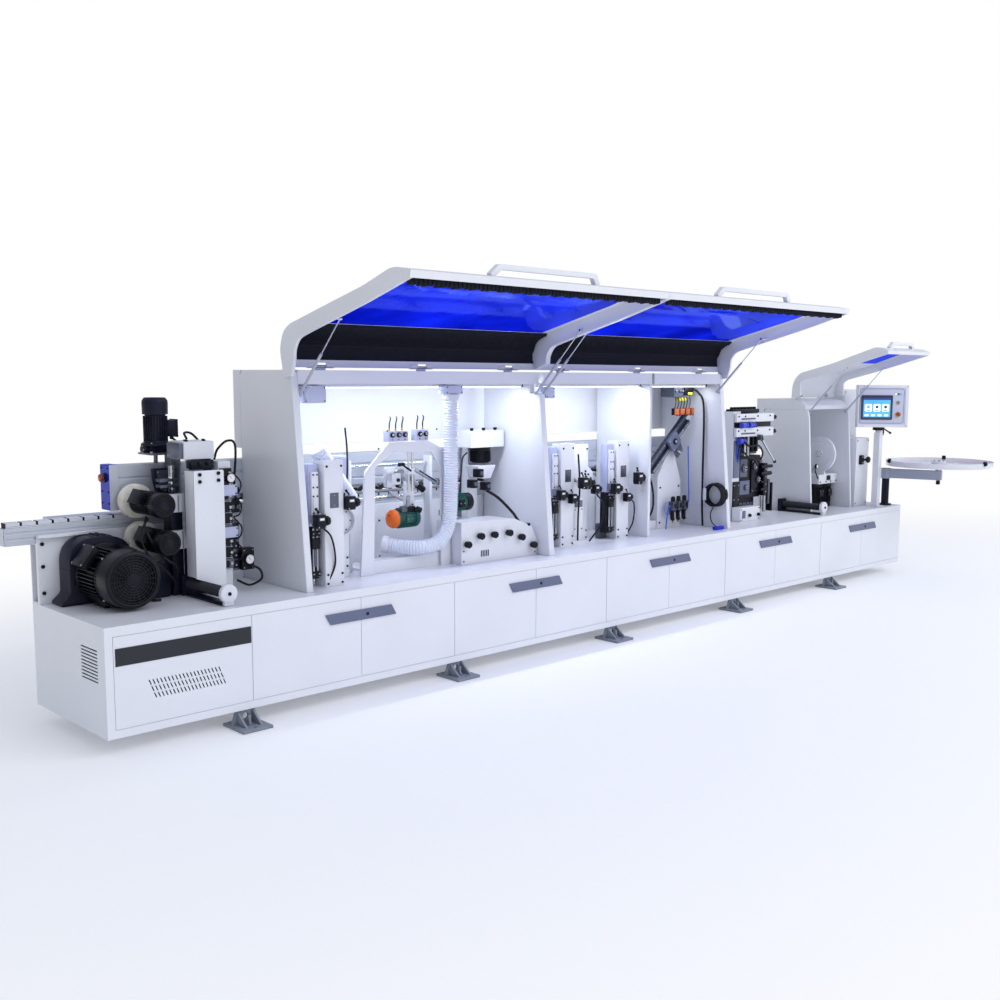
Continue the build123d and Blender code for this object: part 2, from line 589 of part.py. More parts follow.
# screw heads: left edge and front face of the column, height of the top pair
for left, front, top_z in ((1275, 150, 1232), (3219, 291, 1240), (3775, 291, 1240)):
    for z in (612, 660, top_z):
        for dx in (16, 105):
            columns.append(cyl("Y", left + dx, z, 6, front - 5, front))
save("unit_columns", columns)

# ---------------------------------------------------------------- dust hoods
save("dust_hoods",
     cyl("Y", 1478, 917, 78, 262, 329),
     rod((1450, 240, 1240), (1560, 240, 1045), 34),
     prism("Y", [(3350, 660), (3400, 640, 20), (3440, 720, 30), (3440, 905), (3350, 905)],
           300, 380),
     prism("Y", [(2660, 1146), (2820, 1146), (2775, 1062), (2705, 1062)], 490, 610))

# ---------------------------------------------------------------- corner unit
arched_frame = prism("Y", [
    (1600, BASE_TOP), (1636, 1172, 20), (1799, 1329, 20), (2090, 1333, 30), (2226, 1269, 30),
    (2255, 1161, 10), (2255, BASE_TOP), (2184, BASE_TOP), (2184, 1166, 20), (2111, 1269, 20),
    (1834, 1282, 20), (1705, 1195, 10), (1690, BASE_TOP)], 280, 296)
cabinet_face = prism("Y", [(2264, BASE_TOP), (2896, BASE_TOP), (2896, 690, 20), (2848, 780, 20),
                           (2700, 838, 30), (2264, 850)], 192, 196)
cabinet_body = prism("Y", [(2266, BASE_TOP), (2894, BASE_TOP), (2894, 688), (2846, 778),
                           (2698, 834), (2266, 846)], 196, 420)
save("corner_unit_frame", arched_frame, cabinet_face + cabinet_body,
     blocks((1700, 2180, 300, 380, BASE_TOP, 668),    # crossbar
            (1712, 1850, 384, 600, BASE_TOP, 606),    # plate
            (2600, 2880, 480, 620, 1260, 1364),       # box
            (2700, 2780, 622, 684, BASE_TOP, 1364)),  # post
     [cyl("Z", x, 520, 8, 1364, 1380) for x in (2640, 2740, 2840)])

# swinging arm with its motor
ARM_PIVOT = (2050.0, 1110.0)
PIVOT_R = 12
arm = cyl("Y", *ARM_PIVOT, 34, 400, 440) + cyl("X", 416, 878, 58, 1945, 2096)
arm += (cyl("X", 416, 878, 62, 1878, 1945)
        + prism("Y", [(2016, 930), (2084, 930), (2078, 1110), (2022, 1110)], 404, 428))
arm += rod((2050, 412, 1110), (2150, 412, 1040), 14)
arm += cyl("Y", *ARM_PIVOT, PIVOT_R, 440, 520)
save("corner_arm", arm)

# ---------------------------------------------------------------- unit slides
slides = blocks(
    (1205, 1262, 190, 262, 640, 1245), (1195, 1275, 262, 300, BASE_TOP, 640),
    (3150, 3206, 320, 380, 640, 1250), (3700, 3762, 320, 380, 640, 1250),
    (3150, 3219, 380, 420, BASE_TOP, 700), (3700, 3775, 380, 420, BASE_TOP, 700),
    (1262, 1275, 200, 240, 700, 1200), (3206, 3219, 330, 370, 700, 1200),
    (3762, 3775, 330, 370, 700, 1200))
# corner unit rails behind the arched frame, and their end posts
slides += [cyl("X", 470, 1190, 9, 1660, 2230), cyl("X", 490, 1000, 9, 1660, 2230)]
slides += blocks((1640, 1660, 440, 500, BASE_TOP, 1230), (2230, 2250, 440, 500, BASE_TOP, 1230))
# upright motor, lying motor and the block behind the cabinet
slides += [cyl("Z", 2740, 550, 66, 1160, 1260), cyl("X", 416, 940, 54, 2330, 2520),
           block(2400, 2470, 421, 560, BASE_TOP + 252, 884)]
# bearing of the corner arm
slides.append(block(1960, 2140, 500, 540, 1050, 1170)
              - cyl("Y", *ARM_PIVOT, PIVOT_R + FIT, 499, 541))
save("unit_slides", slides)

# ---------------------------------------------------------------- end-cut unit
END_ANGLE = math.radians(41.0)
END_X0, END_X1, END_Z0 = 4299.0, 4716.0, 1020.0
END_LOW = (END_X0, END_Z0)
END_HIGH = (END_X1, END_Z0 + (END_X1 - END_X0) * math.tan(END_ANGLE))
CARRIAGE_TRAVEL = 0.55                           # share of the guide length
CARRIAGE = tuple(low + (high - low) * CARRIAGE_TRAVEL for low, high in zip(END_LOW, END_HIGH))


def slanted(origin, along, normal):
    """(x, z) point measured along and square to the guide, upwards."""
    cos, sin = math.cos(END_ANGLE), math.sin(END_ANGLE)
    return origin[0] + cos * along - sin * normal, origin[1] + sin * along + cos * normal


def guide_bar(half_width, normal):
    low, high = normal - half_width, normal + half_width
    return prism("Y", [slanted(END_LOW, 0, low), slanted(END_HIGH, 0, low),
                       slanted(END_HIGH, 0, high), slanted(END_LOW, 0, high)], 398, 420)


def carriage_plate(corners, y0, y1):
    return prism("Y", [slanted(CARRIAGE, *corner) for corner in corners], y0, y1)


end_body = prism("Y", [(4395, BASE_TOP), (4662, BASE_TOP), (4662, 940), (4575, 1150, 10),
                       (4500, 1150, 10), (4390, 985)], 430, 500)
save("endcut_guide", guide_bar(14, 0), guide_bar(10, 60), end_body,
     blocks((4100, 4180, 430, 500, BASE_TOP, 1010), (4180, 4395, 440, 480, BASE_TOP, 660)))

carriage = carriage_plate([(-60, -28), (60, -28), (60, 78), (-60, 78)], 372, 396)
carriage += carriage_plate([(-34, 18), (34, 18), (34, 46), (-34, 46)], 396, 424)
carriage += carriage_plate([(-50, -95), (30, -95), (50, -28), (-50, -28)], 376, 392)
save("endcut_carriage", carriage)

# ---------------------------------------------------------------- pneumatics
pneumatics = []
for x in (4455, 4520, 4590):                     # filter and regulator sets
    pneumatics += [block(x, x + 44, 330, 374, 735, 800), cyl("Z", x + 22, 352, 17, 800, 838),
                   cyl("Z", x + 22, 352, 20, 655, 735)]
pneumatics += blocks(                            # valve blocks and terminal boxes
    (4440, 4650, 374, 390, 700, 800), (4476, 4700, 364, 500, 1560, 1645),
    (4490, 4730, 364, 396, 1430, 1480), (1800, 1935, 276, 330, 1336, 1396),
    (2000, 2085, 276, 330, 1336, 1400))
pneumatics += blocks(                            # valve stack beside the scraper cover
    (796, 866, 380, 500, BASE_TOP, 1270), (790, 884, 366, 380, 1095, 1150),
    (790, 884, 366, 380, 880, 935))
pneumatics += [cyl("Y", 851, 1185, 26, 350, 380), cyl("Y", 950, 757, 28, 350, 368)]
pneumatics += blocks((915, 985, 368, 420, 700, 815), (866, 925, 400, 500, 1000, 1130),
                     (866, 915, 400, 480, 700, 960))
save("pneumatics", pneumatics)


# ---------------------------------------------------------------- adjusting knobs
def adjuster(x, y, z, scale):
    """Block with a short neck and a round knob on its right."""
    mid_y, neck_x, knob_x = y + 23 * scale, x + 14 * scale, x + 20 * scale
    return (block(x - 34 * scale, neck_x, y, y + 46 * scale, z - 33 * scale, z + 33 * scale)
            + cyl("X", mid_y, z, 9 * scale, neck_x, knob_x)
            + cyl("X", mid_y, z, 23 * scale, knob_x, x + 46 * scale))


# x, y, z, scale
ADJUSTERS = [
    (1236, 100, 952, 1.0), (1440, 120, 1033, 1.0), (3193, 236, 943, 0.8), (3286, 230, 923, 0.8),
    (3345, 180, 1018, 0.8), (3432, 229, 1004, 0.8), (3511, 229, 972, 0.8), (3734, 236, 936, 0.8),
    (3842, 229, 886, 0.8), (3894, 170, 1021, 0.8), (3958, 229, 1001, 0.8)]
# x, z of the knobs on the cabinet face
FACE_KNOBS = [(2296, 718), (2400, 759), (2510, 758), (2634, 758), (2740, 722), (2845, 664)]

knobs = [adjuster(*row) for row in ADJUSTERS]
knobs += [cyl("Y", x, z, 21, 150, 168) + cyl("Y", x, z, 9, 168, 192) for x, z in FACE_KNOBS]
knobs += [cyl("Y", x, 640, 14, 232, 250) for x in (5310, 5430)]
save("adjusting_knobs", knobs)

# ---------------------------------------------------------------- hoses and cables
save("hoses_and_cables",
     tube(44, (2212, 226, 1598), (2212, 226, 1350), (2212, 226, 1050), (2195, 226, 850),
          (2115, 226, 745), (2010, 262, 722), (1935, 345, 722), (1880, 416, 732)),
     tube(8, (2560, 300, 905), (2620, 260, 880), (2700, 250, 880), (2760, 262, 890)),
     tube(7, (4718, 345, 1560), (4752, 345, 1450), (4754, 345, 1000), (4752, 345, 720),
          (4750, 345, 604)),
     Pos(4768, 214, 836) * Rot(0, 90, 0) * Torus(80, 17),
     tube(6, (802, 430, 1278), (805, 400, 1330), (850, 380, 1372), (900, 390, 1340),
          (905, 420, 1138)),
     tube(6, (690, 500, 1382), (700, 540, 1410), (760, 570, 1400), (812, 560, 1330),
          (812, 520, 1240)),
     tube(6, (950, 338, 730), (992, 330, 700), (1005, 340, 650), (960, 380, 618),
          (890, 385, 650)),
     [cyl("Y", x, GUIDE_Z, 28, 81, 468) for x in GUIDE_X],    # bellows
     tube(6, (3372, 286, 1200), (3388, 284, 1000), (3368, 276, 800), (3350, 262, 630)),
     tube(6, (3530, 262, 930), (3600, 262, 850), (3590, 270, 720), (3480, 275, 612)))

# ---------------------------------------------------------------- gluing unit
GLUE_X, GLUE_Y = 5690, 650                       # roller axis
GLUE_SHAFT_R = 10

glue = blocks((5190, 5699, 306, 330, 1364, 1427), (5190, 5699, 306, 330, 1250, 1317))
for z in (1395, 1283):
    glue.append(cyl("X", 318, z, 17, 5703, 5740) + cyl("X", 318, z, 8, 5699, 5703))
glue += blocks((5195, 5290, 330, 560, BASE_TOP, 1445), (5290, 5600, 340, 560, 760, 1095),
               (5290, 5560, 380, 560, BASE_TOP, 760))
for x, y in ((5230, 280), (5330, 360)):
    glue.append(cyl("X", y, 1340, 22, x, x + 74))
glue.append(rod((5490, 280, 1235), (5690, 280, 1040), 10))
glue.append(block(5190, 5455, 250, 329, BASE_TOP, 705))
pot = (block(5610, 5760, 560, 688, 860, 985) + block(5560, 5610, 560, 688, 860, 900)
       + block(5610, 5760, 560, 688, BASE_TOP, 860))
pot -= cyl("Z", GLUE_X, GLUE_Y, GLUE_SHAFT_R + FIT, 930, 990)
glue.append(pot)
save("glue_unit", glue)
save("glue_roller", cyl("Z", GLUE_X, GLUE_Y, 26, 986, 1085)
     + cyl("Z", GLUE_X, GLUE_Y, GLUE_SHAFT_R, 935, 986))

# ---------------------------------------------------------------- pre-milling unit at the infeed
save("premill_unit",
     cyl("Z", 6555, 430, 68, BASE_TOP, 802),
     cyl("Z", 6700, 430, 66, BASE_TOP, 802),
     block(6475, 6770, 340, 520, 802, 885),
     cyl("X", 380, 1060, 150, 6530, 6560) & block(6500, 6600, 200, 600, 885, 1300),
     block(6180, 6440, 420, 600, BASE_TOP, 900),
     block(6850, 7090, 350, 620, BASE_TOP, 1610) + block(6850, 7064, 208, 350, BASE_TOP, 1190),
     cyl("Y", 6990, 1000, 8, 186, 208) + cyl("Y", 6990, 1000, 24, 160, 186)
     + block(6900, 6950, 190, 208, 960, 1040))

# ---------------------------------------------------------------- console
POST_TOP = 1215 + CONSOLE_LIFT
NECK_R = 18
# (x, z) on the face of the console head
ESTOP, ESTOP_STEM_R = (148.0, 1374.0), 11
KEY, KEY_STEM_R = (148.0, 1475.0), 8


def around_console(half, z0, z1):
    return block(CONSOLE_X - half, CONSOLE_X + half, CONSOLE_Y - half, CONSOLE_Y + half, z0, z1)


post = around_console(27, BASE_TOP, POST_TOP)
post += (cyl("Z", CONSOLE_X, CONSOLE_Y, 26, POST_TOP, POST_TOP + 20)
         + around_console(55, BASE_TOP, BASE_TOP + 8))
post -= cyl("Z", CONSOLE_X, CONSOLE_Y, NECK_R + FIT, POST_TOP - 35, POST_TOP + 21)
save("console_post", post)

# the head is modelled about its post axis, then turned
turn = Pos(CONSOLE_X, CONSOLE_Y, CONSOLE_LIFT) * Rot(0, 0, CONSOLE_YAW)
head = block(-197, 236, -40, 40, 1262, 1625)
head = head - block(-188, 208, -41, -36, 1286, 1602)
head += cyl("Z", 0, 0, 44, 1235, 1262) + cyl("Z", 0, 0, NECK_R, 1185, 1235)
head -= cyl("Y", *ESTOP, ESTOP_STEM_R + FIT, -37, -12)
head -= cyl("Y", *KEY, KEY_STEM_R + FIT, -37, -12)
head += rod((42, 0, 1250), (96, -30, 1212), 6)
save("console_head", turn * head)
save("console_screen", turn * block(-172, 99, -44, -36, 1327, 1538))
save("console_estop",
     turn * (cyl("Y", *ESTOP, 20, -62, -48) + cyl("Y", *ESTOP, ESTOP_STEM_R, -48, -20)))
save("console_key_switch",
     turn * (cyl("Y", *KEY, 13, -46, -36)
             + block(KEY[0] - 3, KEY[0] + 3, -56, -46, KEY[1] - 12, KEY[1] + 12)
             + cyl("Y", *KEY, KEY_STEM_R, -36, -16)))

# ---------------------------------------------------------------- tape tray
TRAY_PIN_R, TRAY_SPINDLE_R = 18, 10
post = cyl("Z", *TRAY_PIVOT, 32, BASE_TOP, 830) + cyl("Z", *TRAY_PIVOT, 56, BASE_TOP, 607)
post += cyl("Z", *TRAY_PIVOT, TRAY_PIN_R, 830, 900)
save("tray_post", post)

reach_x, reach_y = TRAY_CENTRE[0] - TRAY_PIVOT[0], TRAY_CENTRE[1] - TRAY_PIVOT[1]
reach = math.hypot(reach_x, reach_y)
arm = cyl("Z", 0, 0, 42, 831, 920) + block(0, reach + 28, -30, 30, 836, 916)
arm -= cyl("Z", 0, 0, TRAY_PIN_R + FIT, 830, 901)
arm -= cyl("Z", reach, 0, TRAY_SPINDLE_R + FIT, 830, 921)
save("tray_arm",
     Pos(*TRAY_PIVOT, 0) * Rot(0, 0, math.degrees(math.atan2(reach_y, reach_x))) * arm)

tray = (cyl("Z", 0, 0, TRAY_R, 958, 962)
        + (cyl("Z", 0, 0, TRAY_R, 958, 1004) - cyl("Z", 0, 0, TRAY_R - 4, 957, 1005)))
# radius, z0, z1 of the hub, the spindle and its collars
tray += (cyl("Z", 0, 0, 60, 962, 1000) + cyl("Z", 0, 0, TRAY_SPINDLE_R, 832, 958)
         + cyl("Z", 0, 0, 18, 798, 832) + cyl("Z", 0, 0, 26, 917, 958))
for k in range(3):                               # blocks on the rim
    angle = math.radians(-100 + 120 * k)
    rim_r = TRAY_R + 5
    place = (Pos(rim_r * math.cos(angle), rim_r * math.sin(angle), 0)
             * Rot(0, 0, math.degrees(angle)))
    tray += place * block(-12, 6, -16, 16, 985, 1022)
save("tape_tray", Pos(*TRAY_CENTRE, 0) * tray)
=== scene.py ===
# An edge-banding machine. The base cabinet runs along X, from the buffing end on the left to
# the infeed end on the right; its front faces -Y, and the floor is at z = 0.
# CAD pieces come in metres. Pieces built here are given in millimetres from the base cabinet's
# left front corner: x from its left end, y from its front and z from the floor.
import bpy
import bmesh
import math
import random
from mathutils import Vector, Matrix

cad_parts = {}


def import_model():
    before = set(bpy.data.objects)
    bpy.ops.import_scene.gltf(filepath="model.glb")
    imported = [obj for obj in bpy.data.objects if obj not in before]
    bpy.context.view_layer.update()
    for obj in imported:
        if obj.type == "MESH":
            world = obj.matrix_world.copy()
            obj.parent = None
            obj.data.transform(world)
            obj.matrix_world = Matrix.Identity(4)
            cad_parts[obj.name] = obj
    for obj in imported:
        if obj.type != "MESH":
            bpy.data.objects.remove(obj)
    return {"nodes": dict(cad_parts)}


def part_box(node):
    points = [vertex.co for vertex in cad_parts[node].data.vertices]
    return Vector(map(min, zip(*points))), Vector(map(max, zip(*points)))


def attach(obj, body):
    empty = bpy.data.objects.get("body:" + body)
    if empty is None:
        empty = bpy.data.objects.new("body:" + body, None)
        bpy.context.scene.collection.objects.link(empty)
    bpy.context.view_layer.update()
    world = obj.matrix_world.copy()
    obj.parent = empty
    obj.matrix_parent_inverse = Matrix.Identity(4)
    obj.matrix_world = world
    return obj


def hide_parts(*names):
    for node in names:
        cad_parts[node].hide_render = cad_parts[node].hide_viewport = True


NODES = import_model()["nodes"]
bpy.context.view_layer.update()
SCENE = bpy.context.scene
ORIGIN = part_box("base_cabinet")[0]

# ------------------------------------------------------------------ driving dimensions, mm
DECK = 595                                        # level the units stand on
MAIN_MOTOR = (262, 745)                           # x, z of its shaft
LIFT_MOTOR = (639, 728)                           # x, y of the beam height drive
LIFT_Y = 737                                      # y of the height spindle and the stop button
UPPER_BUFF, LOWER_BUFF = (474, 1072), (497, 885)  # x, z of the buffing shafts
GUIDE_XS = (653, 6100)                            # the two bellows guides
GUIDE_Z = 656
DUST_MOUTH = (1478, 917)                          # x, z
ARM_BEARING = (2050, 1110)                        # x, z of the rocking arm's bearing
GLUE_ROLLER = (5690, 650)                         # x, y
DUST_DISC = (380, 1060)                           # y, z
TRAY_X, TRAY_Y, TRAY_R = 7311.0, -322.0, 438.0


def to_frame(x, y, z):
    """Frame metres from millimetres along the base."""
    return Vector((ORIGIN.x + x / 1000, ORIGIN.y + y / 1000, z / 1000))


# ------------------------------------------------------------------ shader helpers
def linear(rgb):
    """Linear colour with alpha from 8-bit sRGB."""
    shares = [value / 255 for value in rgb]
    return (*[s / 12.92 if s <= 0.04045 else ((s + 0.055) / 1.055) ** 2.4 for s in shares], 1.0)


def feed(tree, node, inputs):
    """Set a node's inputs from values, or link them from sockets."""
    for key, value in inputs.items():
        if isinstance(value, bpy.types.NodeSocket):
            tree.links.new(value, node.inputs[key])
        else:
            node.inputs[key].default_value = value


def add_node(tree, kind, inputs=None, **settings):
    node = tree.nodes.new("ShaderNode" + kind)
    for key, value in settings.items():
        setattr(node, key, value)
    feed(tree, node, inputs or {})
    return node


def calc(tree, operation, *values, clamp=False):
    node = add_node(tree, "Math", dict(enumerate(values)), operation=operation, use_clamp=clamp)
    return node.outputs[0]


def dot_product(tree, first, second):
    node = add_node(tree, "VectorMath", {0: first, 1: second}, operation="DOT_PRODUCT")
    return node.outputs["Value"]


def mix_colour(tree, share, first, second):
    node = add_node(tree, "Mix", {"Factor": share, "A": first, "B": second}, data_type="RGBA")
    return node.outputs["Result"]


def mix_shader(tree, share, first, second):
    return add_node(tree, "MixShader", {0: share, 1: first, 2: second}).outputs[0]


def colour_ramp(tree, source, *stops):
    """Ramp between two stops of (position, colour)."""
    ramp = add_node(tree, "ValToRGB", {"Fac": source})
    for element, (position, colour) in zip(ramp.color_ramp.elements, stops):
        element.position = position
        element.color = colour
    return ramp.outputs["Color"]


def material(name, rgb, *, rough, vary, rough_vary=0.1, patches=3.0, metal=0.0, coat=0.0,
             ior=1.45, sheen=0.0, sub=0.0, bump=0.05, grain=220.0, deep=0.0006,
             stretch=(1, 1, 1), cells=False, edge=0.0015, wear=None, worn=0.35, corner_shade=0.0,
             emit=None, glow=0.0):
    """Procedural surface.

    vary, rough_vary: spread of colour and roughness over noise patches of scale `patches`
    bump, grain, deep: strength, scale and height in metres of the fine relief,
        which `stretch` scales by axis and `cells` makes cellular
    edge: shaded edge radius in metres; wear, worn: sRGB and amount of bare edges
    corner_shade: strength of painted shade that darkens corners; sub: subsurface weight; emit,
    glow: linear colour and strength
    """
    made = bpy.data.materials.new(name)
    made.use_nodes = True
    tree = made.node_tree
    shader = tree.nodes["Principled BSDF"]
    colour = linear(rgb)
    place = add_node(tree, "TexCoord").outputs["Object"]
    patch = add_node(tree, "TexNoise", {
        "Vector": place, "Scale": patches, "Detail": 5}).outputs["Fac"]
    darker = (*[max(0, c * (1 - vary)) for c in colour[:3]], 1)
    lighter = (*[min(1, c * (1 + vary)) for c in colour[:3]], 1)
    base = colour_ramp(tree, patch, (0.3, darker), (0.7, lighter))
    # painted shade: ambient occlusion darkens corners and crevices towards a dark copy of the
    # colour
    if corner_shade:
        openness = add_node(tree, "AmbientOcclusion", {"Distance": 0.05}, samples=4)
        share = calc(tree, "MULTIPLY_ADD", openness.outputs["AO"], -corner_shade, corner_shade)
        base = mix_colour(tree, share, base, (*[c * 0.35 for c in colour[:3]], 1))

    stretched = add_node(tree, "Mapping", {"Vector": place, "Scale": stretch}).outputs["Vector"]
    if cells:
        height = add_node(tree, "TexVoronoi", {
            "Vector": stretched, "Scale": grain}).outputs["Distance"]
    else:
        height = add_node(tree, "TexNoise", {
            "Vector": stretched, "Scale": grain, "Detail": 3}).outputs["Fac"]
    relief = add_node(tree, "Bump", {"Strength": bump, "Distance": deep, "Height": height})
    if edge:
        rounded = add_node(tree, "Bevel", {"Radius": edge}, samples=3).outputs["Normal"]
        feed(tree, relief, {"Normal": rounded})
        if wear:  # bare where the rounded normal leaves the true one
            true_normal = add_node(tree, "NewGeometry").outputs["Normal"]
            match = dot_product(tree, rounded, true_normal)
            on_edge = calc(tree, "MULTIPLY_ADD", match, -9.0, 9.0, clamp=True)
            specks = add_node(tree, "TexNoise", {"Vector": place, "Scale": 60}).outputs["Fac"]
            speckled = calc(tree, "MULTIPLY", on_edge, specks)
            share = calc(tree, "MULTIPLY", speckled, worn * 2, clamp=True)
            base = mix_colour(tree, share, base, linear(wear))
    roughness = add_node(tree, "MapRange", {
        "Value": patch, "To Min": max(0.02, rough - rough_vary),
        "To Max": min(1, rough + rough_vary)}).outputs["Result"]
    feed(tree, shader, {
        "Normal": relief.outputs["Normal"], "Roughness": roughness, "Base Color": base,
        "Metallic": metal, "Coat Weight": coat, "Coat Roughness": 0.15,
        "Sheen Weight": sheen, "IOR": ior})
    if emit:
        feed(tree, shader, {"Emission Color": emit, "Emission Strength": glow})
    if sub:
        feed(tree, shader, {"Subsurface Weight": sub, "Subsurface Scale": 0.01})
    made.diffuse_color = colour
    return made


# ------------------------------------------------------------------ materials
white = material("white_sheet", (229, 231, 238), rough=0.36, coat=0.25, vary=0.018, bump=0.06,
                 grain=420, wear=(196, 199, 208), worn=0.5, corner_shade=0.25)
casting = material("white_castings", (222, 225, 233), rough=0.42, coat=0.1, vary=0.03,
                   bump=0.12, grain=300, wear=(170, 174, 186), worn=0.5, corner_shade=0.35)
lavender = material("lavender_plate", (186, 192, 222), rough=0.3, metal=0.35, vary=0.04,
                    bump=0.06, grain=500, stretch=(0.05, 1, 1))
slate = material("slate_handle", (98, 106, 134), rough=0.4, coat=0.2, vary=0.05, bump=0.1,
                 grain=420, wear=(150, 156, 176))
grey = material("grey_feet", (139, 146, 158), rough=0.45, vary=0.08, patches=12, bump=0.2,
                grain=260, wear=(90, 93, 98), corner_shade=0.5)
tray_grey = material("tray_arm_grey", (158, 165, 184), rough=0.4, coat=0.15, vary=0.04,
                     bump=0.1, grain=380, wear=(110, 114, 126))
dark_grey = material("dark_grey_enamel", (74, 80, 96), rough=0.42, coat=0.1, vary=0.08,
                     bump=0.12, grain=320, wear=(128, 132, 142))
strut_grey = material("strut_enamel", (176, 180, 194), rough=0.32, coat=0.3, vary=0.05,
                      grain=500, wear=(120, 124, 134))
black = material("motor_black", (12, 14, 25), rough=0.36, coat=0.06, ior=1.3, vary=0.25,
                 patches=9, bump=0.12, grain=420, wear=(88, 92, 104), worn=0.4, corner_shade=0.3)
navy = material("navy_black", (18, 22, 42), rough=0.4, coat=0.04, ior=1.3, vary=0.2, patches=9,
                bump=0.15, grain=420, wear=(92, 98, 118))
plastic = material("black_plastic", (13, 14, 21), rough=0.45, ior=1.35, vary=0.15, patches=14,
                   bump=0.18, grain=600, wear=(60, 62, 70), worn=0.25)
rubber = material("black_rubber", (24, 25, 30), rough=0.7, vary=0.12, patches=10, bump=0.25,
                  grain=500, edge=0)
# painted shadow: the dark strip on the front panels under the table's overhang
overhang_shadow = material("overhang_shadow", (27, 29, 38), rough=0.42, coat=0.15, vary=0.1, bump=0.06,
                     grain=500, wear=(90, 94, 104))
steel = material("machined_steel", (178, 182, 190), rough=0.28, metal=0.95, vary=0.08,
                 bump=0.12, grain=380, stretch=(0.08, 1, 1), wear=(226, 228, 232))
iron = material("dark_steel", (104, 109, 124), rough=0.35, metal=0.85, vary=0.12, bump=0.12,
                grain=300, wear=(168, 172, 180))
chrome = material("hard_chrome", (212, 214, 220), rough=0.1, metal=1.0, vary=0.03, bump=0.02,
                  grain=500, rough_vary=0.05)
aluminium = material("anodised_aluminium", (198, 203, 214), rough=0.36, metal=0.45, vary=0.035,
                     bump=0.1, grain=420, stretch=(0.03, 1, 1), wear=(226, 229, 236))
brass = material("brass", (196, 158, 78), rough=0.26, metal=1.0, vary=0.08,
                 wear=(230, 205, 140))
cloth = material("buff_cloth", (236, 232, 222), rough=0.9, vary=0.12, patches=30, bump=0.7,
                 grain=900, sheen=0.6, edge=0, deep=0.002)
cap_blue = material("cap_blue", (16, 40, 190), rough=0.4, coat=0.08, ior=1.35, vary=0.06,
                    grain=420, wear=(90, 112, 214))
red = material("stop_red", (160, 42, 26), rough=0.3, coat=0.5, vary=0.08, bump=0.04, grain=420,
               wear=(200, 96, 74))
yellow = material("marker_yellow", (226, 220, 60), rough=0.4, vary=0.06, bump=0.08)
orange = material("orange_plastic", (230, 106, 30), rough=0.4, vary=0.08, bump=0.1, grain=500,
                  wear=(240, 150, 90))
green = material("motor_green", (18, 92, 84), rough=0.38, coat=0.2, vary=0.12, bump=0.2,
                 grain=420, wear=(70, 130, 122))
cylinder_blue = material("cylinder_blue", (40, 62, 214), rough=0.28, metal=0.3, coat=0.4,
                         vary=0.06, bump=0.04)
hose_white = material("hose_white", (222, 227, 240), rough=0.42, vary=0.05, bump=0.1,
                      grain=400, sub=0.25, edge=0)
bellows_black = material("bellows_black", (34, 37, 46), rough=0.62, vary=0.12, bump=0.3,
                         grain=500, edge=0)
air_blue = material("air_line_blue", (60, 96, 210), rough=0.3, coat=0.3, vary=0.05, bump=0.03,
                    edge=0)
foam = material("foam_black", (14, 17, 34), rough=0.95, vary=0.3, patches=20, bump=0.8,
                grain=900, edge=0, cells=True, deep=0.002)
lamp_lit = material("lamp_lit", (240, 246, 255), rough=0.3, vary=0.01, emit=(0.86, 0.92, 1, 1),
                    glow=5.0, edge=0)
lamp_case = material("lamp_case", (214, 218, 232), rough=0.35, coat=0.2, vary=0.03)
dial = material("dial_face", (240, 242, 246), rough=0.35, coat=0.6, vary=0.01, bump=0.02,
                edge=0)
tray_white = material("tray_white", (225, 228, 236), rough=0.2, coat=0.5, vary=0.02, bump=0.03,
                      grain=200, sub=0.3, edge=0.001)
pad_top = material("pad_top", (214, 217, 226), rough=0.5, vary=0.05, patches=20, bump=0.3,
                   grain=700, wear=(140, 144, 156), cells=True)
console_face = material("console_face", (206, 210, 230), rough=0.34, coat=0.3, vary=0.02,
                        grain=420, wear=(168, 172, 192))
console_case = material("console_case", (232, 234, 240), rough=0.34, coat=0.3, vary=0.02,
                        bump=0.06, grain=420, wear=(190, 194, 204))
bezel_navy = material("bezel_navy", (22, 34, 66), rough=0.18, coat=0.8, vary=0.04, bump=0.01,
                      edge=0.0006)
display_blue = material("display_blue", (70, 160, 226), rough=0.12, coat=1.0, vary=0.12,
                        patches=6, bump=0.0, edge=0, emit=linear((66, 160, 232)), glow=0.85)
display_white = material("display_white", (236, 246, 252), rough=0.12, coat=1.0, vary=0.01,
                         bump=0.0, edge=0, emit=linear((226, 242, 250)), glow=0.8)
border_blue = material("border_blue", (60, 72, 148), rough=0.3, coat=0.3, vary=0.03, bump=0.02,
                       edge=0)
# painted shade: a dark colour for the cabinet's and cowls' insides and for vent slots, standing in
# for the shade there
inside = material("inside_painted_shade", (52, 58, 78), rough=0.6, vary=0.15, bump=0.2, grain=300,
                  edge=0)
# no piece wears this one
material("lined_duct", (150, 158, 186), rough=0.5, vary=0.08, bump=0.2, grain=300)


